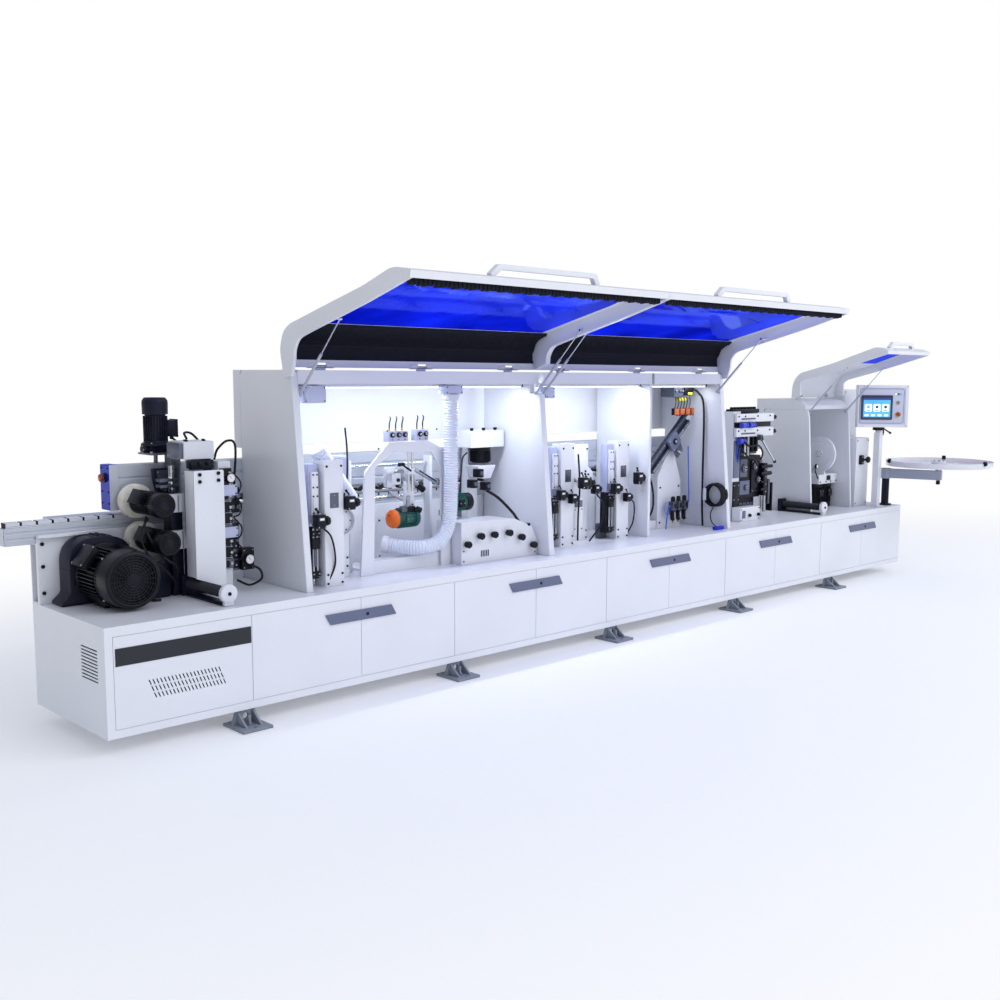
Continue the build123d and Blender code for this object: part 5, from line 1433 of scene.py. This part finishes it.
def valve_stack(part):
    """Valves, plates, gauges and air lines beside the scraper cover."""
    part.box(796, 866, 384, 500, DECK, 1270, casting, 3)
    for k in range(9):
        z = 720 + 58 * k
        part.box(800, 862, 366, 386, z, z + 50, black if k % 3 else iron, 3)
        part.box(806, 834, 358, 368, z + 8, z + 42, black, 2)
        part.cylinder("Y", (848, z + 25), 8, 358, 368, steel, 1, 20)
        part.screws("Y", 366, -1, 3, [(848, z + 8)], steel)
        part.rod((866, 400, z + 25), (882, 400, z + 25), 6, brass)
    for z0, z1 in ((1095, 1150), (880, 935)):
        part.box(790, 884, 352, 357, z0, z1, lavender, 1.5)
        for x, z in grid((798, 876), (z0 + 9, z1 - 9)):
            part.screws("Y", 352, -1, 4, [(x, z)])
            part.rod((x, 356, z), (x, 386, z), 5, steel)
    gauge(part, (851, 1185), 372, 26)
    part.rod((851, 370, 1185), (851, 390, 1185), 8, brass)
    part.box(915, 985, 372, 420, 700, 815, black, 4)
    gauge(part, (950, 757), 374, 28)
    part.screws("Y", 372, -1, 3.6, grid((925, 975), (712, 803)), steel)
    part.box(866, 925, 400, 500, 1000, 1130, black, 4)
    for k in range(4):
        part.cylinder("Y", (880 + 32 * (k % 2), 1030 + 56 * (k // 2)), 11, 390, 402,
                      iron, 1.5, 24)
    part.box(866, 915, 400, 480, 700, 960, iron, 4)
    for k in range(5):
        part.box(870, 911, 392, 402, 712 + 50 * k, 746 + 50 * k, black, 2)
        part.screws("Y", 392, -1, 5, [(890, 729 + 50 * k)], steel)
    for k in range(4):
        z = 745 + 116 * k
        part.tube([(880, 400, z), (905, 372, z + 18), (918, 378, z + 66), (884, 396, z + 116)],
                  4, plastic, 8, 6)


def pneumatics():
    part = Piece("pneumatics_look")
    air_preparation(part)
    terminal_row(part)
    arch_pneumatics(part)
    valve_stack(part)
    part.done("base", "valve_black", "pneumatics")


# ------------------------------------------------------------------ hoses and cables
CABLES = (  # radius, points
    (9, [(2590, 330, 1010), (2650, 284, 960), (2730, 244, 870), (2780, 220, 800),
         (2832, 190, 790)]),
    (7, [(4236, 424, 1060), (4292, 404, 930), (4296, 392, 780), (4250, 400, 690),
         (4196, 420, 664)]),
    (8, [(4706, 372, 1620), (4738, 340, 1590), (4752, 300, 1480), (4754, 296, 1000),
         (4752, 292, 760), (4748, 280, 604)]),
    (6, [(802, 430, 1278), (805, 400, 1330), (850, 380, 1372), (900, 390, 1340),
         (905, 420, 1138)]),
    (6, [(690, 500, 1382), (700, 540, 1410), (760, 570, 1400), (812, 560, 1330),
         (812, 520, 1240)]),
    (6, [(950, 345, 730), (992, 330, 700), (1005, 340, 650), (960, 380, 618),
         (890, 385, 650)]),
    (6, [(3372, 286, 1200), (3388, 284, 1000), (3368, 276, 800), (3350, 262, 630)]),
    (6, [(3530, 262, 930), (3600, 262, 850), (3590, 270, 720), (3480, 275, 612)]),
    (5, [(3860, 262, 880), (3935, 272, 830), (3960, 300, 700), (3930, 330, 612)]),
    (5, [(1246, 146, 925), (1300, 128, 860), (1330, 140, 720), (1290, 160, 606)]),
    (5, [(1462, 240, 1050), (1500, 262, 1150), (1530, 300, 1300), (1540, 330, 1420)]),
    (5, [(2452, 420, 985), (2480, 440, 1100), (2520, 470, 1200), (2600, 520, 1230)]))


def hoses_and_cables():
    part = Piece("hoses_and_cables_look")
    part.hose([(2212, 226, 1598), (2212, 226, 1350), (2212, 226, 1050), (2195, 226, 850),
               (2115, 226, 745), (2010, 262, 722), (1935, 345, 722), (1880, 416, 732)],
              44, 15, 3.4)
    part.pipe("Z", (2212, 226), 50, 41, 1570, 1600, casting, 44)
    part.rod((1890, 402, 730), (1868, 430, 735), 50, casting)
    for radius, points in CABLES:
        part.tube(points, radius, plastic, 12, 10)
    # coil of cable hung on a bracket
    for k in range(5):
        part.ring((4734 + 17 * k, 184, 842), (1, 0, 0), 78 + 3 * (k % 2), 8.2, plastic, 44, 12)
    part.prism("X", [(236, 800, 6), (262, 800, 6), (262, 892, 6), (236, 892, 6)],
               4716, 4724, casting, 2)
    part.tube([(4760, 190, 764), (4756, 216, 700), (4752, 200, 640), (4746, 150, 606)],
              4, plastic, 12, 8)
    part.prism("Z", [(4660, 92, 8), (4760, 92, 8), (4760, 128, 8), (4660, 128, 8)],
               596, 622, cap_blue, 5)
    # black junctions by the corner unit
    for x, z in ((2590, 1040), (2640, 1104), (2700, 1020)):
        part.box(x - 22, x + 22, 430, 486, z - 26, z + 26, black, 4)
        part.cylinder("Y", (x, z), 13, 420, 432, iron, 2, 24)
    part.done("base", "hose_plastic", "hoses_and_cables")


def work_lights():
    part = Piece("work_lights_look")
    for x0, x1 in ((1200, 2840), (2990, 3980), (4060, 4740)):
        part.prism("X", [(266, 1657), (266, 1646, 4), (274, 1640, 3), (302, 1640, 3),
                         (310, 1646, 4), (310, 1657)], x0, x1, lamp_case, 0.8)
        part.prism("X", [(273, 1641.4), (277, 1636, 3), (299, 1636, 3), (303, 1641.4)],
                   x0 + 16, x1 - 16, lamp_lit, 0.8)
        for x in (x0 + 6, x1 - 12):
            part.box(x, x + 6, 262, 314, 1638, 1657.5, plastic, 1)
    for x0, x1, y0, z0, z1 in ((1196, 1330, 200, 1560, 1650), (2150, 2280, 196, 1600, 1650),
                               (2975, 3055, 200, 1570, 1640)):
        part.box(x0, x1, y0, 262, z0, z1, lavender, 4)
        part.screws("Y", y0, -1, 3.6, grid((x0 + 10, x1 - 10), (z0 + 10, z1 - 10)))
    part.done("base", "lamp_cover", "work_lights")


# ------------------------------------------------------------------ gluing unit
def glue_covers(part):
    for z0, z1 in ((1364, 1427), (1250, 1317)):
        part.prism("Y", [(5190, z0, 6), (5699, z0, 10), (5699, z1, 10), (5190, z1, 6)],
                   306, 330, white, 3)
        part.screws("Y", 306, -1, 6.5, grid((5214, 5300, 5470, 5640), ((z0 + z1) / 2 + 12,)))
        part.prism("Y", [(5250, z0 + 18, 6), (5440, z0 + 18, 6), (5440, z0 + 30, 6),
                         (5250, z0 + 30, 6)], 303.5, 307, iron, 1)
    for z in (1395, 1283):
        part.rod((5690, 318, z), (5706, 318, z), 8, steel)
        part.turned((5703, 318, z), (5740, 318, z), [
            (0, 11), (4, 15), (10, 17), (30, 17), (35, 14), (37, 7), (34, 6)],
            plastic, 40, lobes=lobed(8, 0.12))


def glue_body(part):
    each(part.box, (5195, 5290, 340, 560, DECK, 1445, casting, 5),
         (5203, 5282, 330, 341, 620, 900, black, 4),
         (5203, 5282, 332, 341, 930, 1220, slate, 3))
    part.screws("Y", 330, -1, 5, [(x, z) for z in (650, 760, 870) for x in (5214, 5271)], steel)
    each(part.box, (5290, 5600, 352, 560, 760, 1095, black, 6),
         (5306, 5438, 340, 353, 790, 900, slate, 4), (5306, 5402, 340, 353, 930, 1070, iron, 4),
         (5460, 5584, 340, 353, 800, 1060, black, 4))
    for x, z, radius in ((5354, 1000, 34), (5500, 1010, 30), (5548, 900, 26), (5380, 846, 24)):
        part.cylinder("Y", (x, z), radius, 326, 341, iron, 3, 40)
        part.cylinder("Y", (x, z), radius * 0.5, 318, 328, steel, 2, 28)
        part.screws("Y", 318, -1, radius * 0.2, [(x, z)])
    part.screws("Y", 340, -1, 5, grid((5474, 5572), (815, 1045)), steel)
    part.rod((5340, 330, 1096), (5340, 330, 1210), 9, chrome)
    part.rod((5400, 344, 1096), (5400, 344, 1250), 12, steel)
    part.box(5290, 5560, 380, 560, DECK, 760, navy, 5)
    for k in range(5):
        part.box(5304 + 50 * k, 5344 + 50 * k, 372, 382, 640, 720, iron, 3)
        part.screws("Y", 372, -1, 5, [(5324 + 50 * k, 700)])
    # blue cylinders
    for x, y, z in ((5230, 292, 1340), (5330, 292, 1340), (5214, 300, 1216)):
        part.turned((x, y, z), (x + 74, y, z), [
            (0, 18), (3, 22), (14, 22), (15, 19.5), (59, 19.5), (60, 22), (71, 22), (74, 18)],
            cylinder_blue, 40)
        part.rod((x + 70, y, z), (x + 96, y, z), 7, chrome)
        part.rod((x + 12, y - 14, z + 12), (x + 12, y - 26, z + 18), 5, brass)
    # slanting rod with a knob
    part.rod((5490, 280, 1235), (5690, 280, 1040), 10, chrome)
    part.turned((5478, 280, 1247), (5506, 280, 1219), [
        (0, 8), (4, 15), (24, 15), (30, 12), (38, 12)], plastic, 36, lobes=lobed(8, 0.1))
    part.rod((5680, 280, 1050), (5694, 280, 1036), 13, black)
    part.box(5470, 5500, 270, 308, 1218, 1262, iron, 3)
    # white cover low on the left
    part.prism("Y", [(5190, DECK, 6), (5455, DECK, 6), (5455, 705, 16), (5190, 705, 16)],
               250, 329, white, 5)
    part.box(5216, 5260, 247.5, 251, 620, 680, slate, 2)
    part.screws("Y", 250, -1, 4.5, [(5202, 608), (5443, 608), (5202, 690), (5443, 690)])


def glue_levers(part):
    """Dark bars, shafts and cables across the unit's front."""
    each(part.box, (5200, 5696, 332, 344, 1322, 1360, black, 3),
         (5300, 5640, 420, 440, 1100, 1440, dark_grey, 4))
    for k in range(6):
        part.cylinder("Z", (5316 + 56 * k, 400), 16, 1120, 1236, black, 3, 28)
        part.cylinder("Z", (5316 + 56 * k, 400), 9, 1236, 1262, steel, 1.5, 20)
    part.box(5200, 5560, 352, 420, 1432, 1462, black, 5)
    for k in range(8):
        part.cylinder("Z", (5226 + 44 * k, 384), 14, 1462, 1478, plastic, 3, 24)
    for z, end, radius in ((1002, 5716, 13), (946, 5700, 16), (880, 5676, 11), (820, 5716, 13)):
        part.rod((5560, 322, z), (end, 322, z), radius, black)
        part.rod((end - 4, 322, z), (end + 14, 322, z), radius * 0.6, steel)
    each(part.box, (5590, 5640, 310, 352, 770, 1030, black, 5),
         (5650, 5676, 306, 336, 700, 900, iron, 4), (5690, 5708, 300, 352, 640, 870, black, 4))
    part.rod((5610, 316, 640), (5610, 316, 770), 12, steel)
    part.screws("Y", 310, -1, 6, grid((5615,), (800, 860, 920, 980)), steel)
    part.tube([(5240, 300, 1240), (5300, 262, 1180), (5420, 258, 1180), (5500, 270, 1120),
               (5520, 300, 1060)], 7, plastic, 12, 8)
    part.tube([(5230, 300, 1180), (5290, 270, 1100), (5380, 276, 1080), (5470, 290, 1010)],
              6, plastic, 12, 8)


def glue_unit():
    part = Piece("glue_unit_look")
    glue_covers(part)
    glue_body(part)
    glue_levers(part)
    # glue pot under and beside the roller
    each(part.box, (5610, 5760, 560, 688, DECK, 856, casting, 5),
         (5614, 5756, 562, 686, 856, 930, iron, 5))
    part.pipe("Z", GLUE_ROLLER, 38, 11.5, 930, 985, iron, 44, 2)
    each(part.box, (5560, 5612, 562, 686, 860, 900, steel, 3),
         (5614, 5652, 562, 620, 930, 985, steel, 3))
    for k in range(4):  # air lines
        x = 5236 + 15 * k
        part.tube([(x, 330, 1250), (x + 4, 322, 1180), (x - 6, 326, 1120), (x + 6, 336, 1040)],
                  4, plastic if k % 2 else air_blue, 8, 8)
    part.done("base", "dark_steel", "glue_unit")


def glue_roller():
    part = Piece("glue_roller_look")
    x, y = GLUE_ROLLER
    part.turned((x, y, 935), (x, y, 1085), [
        (0, 9.6), (51, 9.8), (51, 24), (53, 26), (148, 26), (150, 24)], steel, 56)
    for k in range(18):
        part.box(x + 25.0, x + 26.0, y - 1.2, y + 1.2, 990, 1081, iron, 0.3,
                 turn_about("Z", GLUE_ROLLER, 2 * math.pi * k / 18))
    part.nuts("Z", [GLUE_ROLLER], 9, 1085, 1089, iron)
    part.done("glue_drum", "roller_steel", "glue_roller")


# ------------------------------------------------------------------ pre-milling unit
def premill_unit():
    part = Piece("premill_unit_look")
    for x, radius in ((6555, 68), (6700, 66)):
        motor, front = (x, 430), 430 - radius - 8
        part.cylinder("Z", motor, radius - 10, DECK, 802, black, 2, 56)
        part.fins("Z", motor, radius - 13, radius, 640, 770, 34, 3.4, black)
        part.cylinder("Z", motor, radius, 772, 802, black, 4, 56)
        part.cylinder("Z", motor, radius, DECK, 636, black, 4, 56)
        part.box(x - 30, x + 30, front, front + 20, 690, 750, black, 3)
        part.screws("Y", front, -1, 3.6, [(x - 22, 738), (x + 22, 738)], steel)
    part.prism("Y", [(6475, 802, 8), (6770, 802, 8), (6770, 885, 22), (6475, 885, 22)],
               340, 520, white, 5)
    part.screws("Y", 340, -1, 6, grid((6496, 6590, 6664, 6750), (820,)))
    part.box(6600, 6650, 330, 341, 832, 872, black, 3)
    gauge(part, (6430, 960), 352, 20)
    part.rod((6430, 352, 960), (6430, 420, 890), 6, steel)
    part.tube([(6430, 356, 940), (6424, 340, 900), (6452, 340, 862), (6480, 350, 850)],
              5, plastic, 10, 8)
    # flat dust disc standing across the line
    part.prism("X", circle(DUST_DISC, 149, 72), 6533, 6557, tray_white, 3)
    part.ring((6532.5, *DUST_DISC), (1, 0, 0), 112, 3, casting, 64, 8)
    part.cylinder("X", DUST_DISC, 34, 6524, 6534, casting, 3, 40)
    part.screws("X", 6524, -1, 3.4, circle(DUST_DISC, 24, 6))
    each(part.box, (6536, 6554, 330, 430, 885, 915, casting, 2),
         (6180, 6440, 424, 600, DECK, 900, black, 6))
    for k in range(4):
        x = 6220 + 58 * k
        part.box(x - 24, x + 24, 412, 426, 640, 780, iron if k % 2 else black, 4)
        part.cylinder("Y", (x, 830), 17, 408, 425, iron, 2, 30)
        part.screws("Y", 408, -1, 6, [(x, 830)])
        part.screws("Y", 412, -1, 4, [(x, 655)], steel)
    # side box at the infeed with its knob
    part.box(6850, 7090, 350, 620, DECK, 1610, white, 6)
    part.prism("Y", [(6862, 980, 8), (7078, 980, 8), (7078, 1598, 8), (6862, 1598, 8)],
               346, 351, casting, 1.5)
    part.screws("Y", 346, -1, 4.5, grid((6872, 7068), (992, 1290, 1588)))
    part.box(6850, 7064, 208, 352, DECK, 1190, white, 6)
    part.screws("Y", 208, -1, 5, grid((6866, 7048), (620, 1166)))
    part.rod((6990, 210, 1000), (6990, 180, 1000), 8, steel)
    knob = (6990, 188, 1000), (6990, 187, 1000)
    part.turned(*knob, [(0, 14), (7.5, 15.4), (9, 26.6), (13.5, 28), (26.4, 28), (30, 23.8),
                        (30, 9.8), (27.9, 8.4)], plastic, 48, lobes=lobed(8, 0.14))
    part.turned(*knob, [(27, 7.84), (30, 7.28)], iron, 20)
    part.prism("Y", [(6900, 960, 8), (6950, 960, 8), (6950, 1040, 8), (6900, 1040, 8)],
               186, 208, plastic, 3)
    part.rod((6950, 192, 1000), (6974, 184, 1000), 9, plastic)
    part.screws("Y", 186, -1, 5, [(6925, 975), (6925, 1025)], steel)
    part.done("base", "dark_steel", "premill_unit")


# ------------------------------------------------------------------ console
# The head's own frame: x across its face, -y out of the face, z up.
HEAD = Matrix.Translation((7020, 100, 24)) @ Matrix.Rotation(math.radians(-45), 4, "Z")
HEAD_INVERSE = HEAD.inverted()
STOP, KEY = (148, 1374), (148, 1475)  # x, z on the face


def console_pick(x, y, z, normal):
    """Plastic neck, coloured face and pale case."""
    local = HEAD_INVERSE @ Vector((x, y, z))
    if local.z < 1261.5:
        return 2
    return not (local.y < -35 and -187.9 < local.x < 207.9 and 1286.1 < local.z < 1601.9)


def plate(part, x0, x1, z0, z1, radius, front, back, material, bevel):
    """Rounded rectangle on the console's face."""
    part.prism("Y", [(x0, z0, radius), (x1, z0, radius), (x1, z1, radius), (x0, z1, radius)],
               front, back, material, bevel, HEAD)


def console_details():
    part = Piece("console_face_details")
    border = []
    for x, z, start in ((176, 1572, 0), (-162, 1572, 90), (-162, 1318, 180), (176, 1318, 270)):
        for k in range(9):
            angle = math.radians(start + 90 * k / 8)
            border.append((x + 20 * math.cos(angle), -36.2, z + 20 * math.sin(angle)))
    part.sweep(border, 1.6, border_blue, 8, closed=True, turn=HEAD)
    part.screws("Y", -40, -1, 4.2, grid((-150, 222), (1274, 1613)), steel, HEAD)
    part.pipe("Y", STOP, 23, 11.8, -41, -36, yellow, 40, 0.8, HEAD)
    part.pipe("Y", KEY, 17, 8.8, -39, -36, steel, 40, 0.8, HEAD)
    for k, lens in enumerate((display_white, green, display_blue)):
        x = 124 + 24 * k
        part.cylinder("Y", (x, 1548), 7.5, -41, -36, lens, 1.5, 24, HEAD)
        part.ring((x, -37, 1548), (0, 1, 0), 9, 1.8, steel, 28, 8, HEAD)
    for k in range(9):  # vent slots in the back, shallow boxes in dark painted shade
        part.box(-60 + 14 * k, -53 + 14 * k, 39, 41, 1560, 1600, inside, 0.6, HEAD)
    part.box(-150, 150, 39.5, 42, 1290, 1530, console_case, 1, HEAD)
    part.pipe("Z", (0, 0), 50, 44.2, 1238, 1259, plastic, 44, 2, HEAD)
    part.tube([(30, 12, 1262), (52, 30, 1225), (48, 34, 1190)], 7, plastic, 12, 8, HEAD)
    part.turned((84, -24, 1221), (102, -34, 1206), [(0, 6), (4, 10), (16, 10), (22, 6)],
                plastic, 28, HEAD)
    part.done("console", "knob_black")


def console_display():
    part = Piece("console_display")
    plate(part, -172, 99, 1327, 1538, 9, -44, -36.05, bezel_navy, 1.5)
    plate(part, -152, 79, 1350, 1516, 3, -45.0, -43.9, display_blue, 0.3)
    for k, icon in enumerate((display_blue, border_blue, green)):
        x0 = -140 + 74 * k
        plate(part, x0, x0 + 60, 1398, 1462, 9, -45.6, -44.9, display_white, 0.25)
        part.cylinder("Y", (x0 + 30, 1437), 13, -46.0, -45.5, icon, 0.2, 28, HEAD)
        plate(part, x0 + 14, x0 + 46, 1406, 1413, 2, -46.0, -45.5, border_blue, 0.15)
    plate(part, -152, 79, 1497, 1516, 2, -45.5, -44.9, border_blue, 0.2)
    for k in range(4):
        plate(part, -140 + 56 * k, -106 + 56 * k, 1358, 1374, 4, -45.5, -44.9,
              display_white, 0.2)
    part.done("console", "screen_black", "console_screen")


def console_controls():
    part = Piece("console_stop_button_look")
    x, z = STOP
    tip = HEAD @ Vector((x, -62, z))
    part.turned(HEAD @ Vector((x, -20, z)), tip, [
        (0, 10), (26, 10.8), (27, 14), (29, 19), (32, 20), (37, 19), (40.5, 15), (42, 8)],
        red, 48)
    part.turned(HEAD @ Vector((x, -22, z)), tip, [(0, 10.6), (22, 11), (22.5, 10)], plastic, 40)
    part.done("console_stop_button", "stop_red", "console_estop")

    part = Piece("console_key_look")
    x, z = KEY
    part.turned(HEAD @ Vector((x, -16, z)), HEAD @ Vector((x, -46, z)), [
        (0, 7.6), (20, 8), (20.2, 12), (21.5, 13), (28, 13), (30, 11)], steel, 40)
    part.prism("X", [(-46, 1472), (-46, 1478), (-49, 1487, 3), (-56, 1487, 4), (-58, 1475, 4),
                     (-56, 1463, 4), (-49, 1463, 3)], 145.4, 150.6, brass, 0.8, HEAD)
    part.ring((x, -57, z), (1, 0, 0), 9, 1.1, steel, 28, 8, HEAD)
    part.done("console_key", "knob_black", "console_key_switch")


def console():
    finish("console_head", console_face, console_case, plastic, pick=lambda x, y, z, normal:
           console_pick(x, y, z, normal), bevel=3.0, segments=3)
    console_details()
    console_display()
    console_controls()


# ------------------------------------------------------------------ tape tray
def tape_tray():
    part = Piece("tape_tray_look")
    x, y, centre = TRAY_X, TRAY_Y, (TRAY_X, TRAY_Y)
    part.turned((x, y, 958), (x, y, 1004), [
        (0, 2), (0, TRAY_R - 2), (1.0, TRAY_R), (44, TRAY_R), (46, TRAY_R - 1),
        (46, TRAY_R - 3), (44, TRAY_R - 4), (6, TRAY_R - 4.2), (4.2, TRAY_R - 6), (4, 2)],
        tray_white, 120)
    part.turned((x, y, 961), (x, y, 1000), [
        (0, 60), (34, 60), (39, 55), (39, 22), (30, 20), (28, 2)], casting, 72)
    part.turned((x, y, 984), (x, y, 1000), [(0, 17), (3, 19), (12, 19), (16, 14)], plastic, 40)
    part.screws("Z", 1000, 1, 5, circle(centre, 42, 6, 0.4))
    for k in range(12):  # ribs on the tray's bottom
        part.prism("Z", [(x + 90, y - 5), (x + 400, y - 8, 4), (x + 400, y + 8, 4),
                         (x + 90, y + 5)], 961.6, 963.4, casting, 0.5,
                   turn_about("Z", centre, k * math.pi / 6))
    part.turned((x, y, 832.5), (x, y, 958), [(0, 9.8), (84.5, 9.8), (84.7, 26), (125.5, 26)],
                steel, 40)
    part.turned((x, y, 798), (x, y, 832), [(0, 14), (3, 18), (30, 18), (34, 15)], plastic, 40,
                lobes=lobed(8, 0.1))
    for k in range(3):  # clips on the rim
        angle = math.radians(-100 + 120 * k)
        reach = TRAY_R + 5
        turn = (Matrix.Translation((x + reach * math.cos(angle), y + reach * math.sin(angle), 0))
                @ Matrix.Rotation(angle, 4, "Z"))
        each(part.box, (-12, -7.5, -16, 16, 987, 1022, plastic, 1.5, turn),
             (-5, 6, -16, 16, 985, 1018, plastic, 2.5, turn),
             (-12, 6, -16, 16, 1004.5, 1022, plastic, 3, turn))
        part.turned(turn @ Vector((4, 0, 1000)), turn @ Vector((20, 0, 1000)), [
            (0, 5), (3, 5), (4, 10), (10, 10), (13, 7)], plastic, lobes=lobed(6, 0.12))
    part.done("tray_disc", "tray_white", "tape_tray")


# ------------------------------------------------------------------ build
for build in (finish_cad, set_camera, lay_floor, set_world, set_lights, main_motor,
              height_drive, buffing_motors, buffing_wheels, scraper, bellows_guides, beam_end,
              hood_foams, unit_columns, unit_slides, dust_mouths, corner_details, corner_arm,
              adjusting_knobs, endcut_guide, endcut_carriage, pneumatics, hoses_and_cables,
              work_lights, glue_unit, glue_roller, premill_unit, console, tape_tray):
    build()
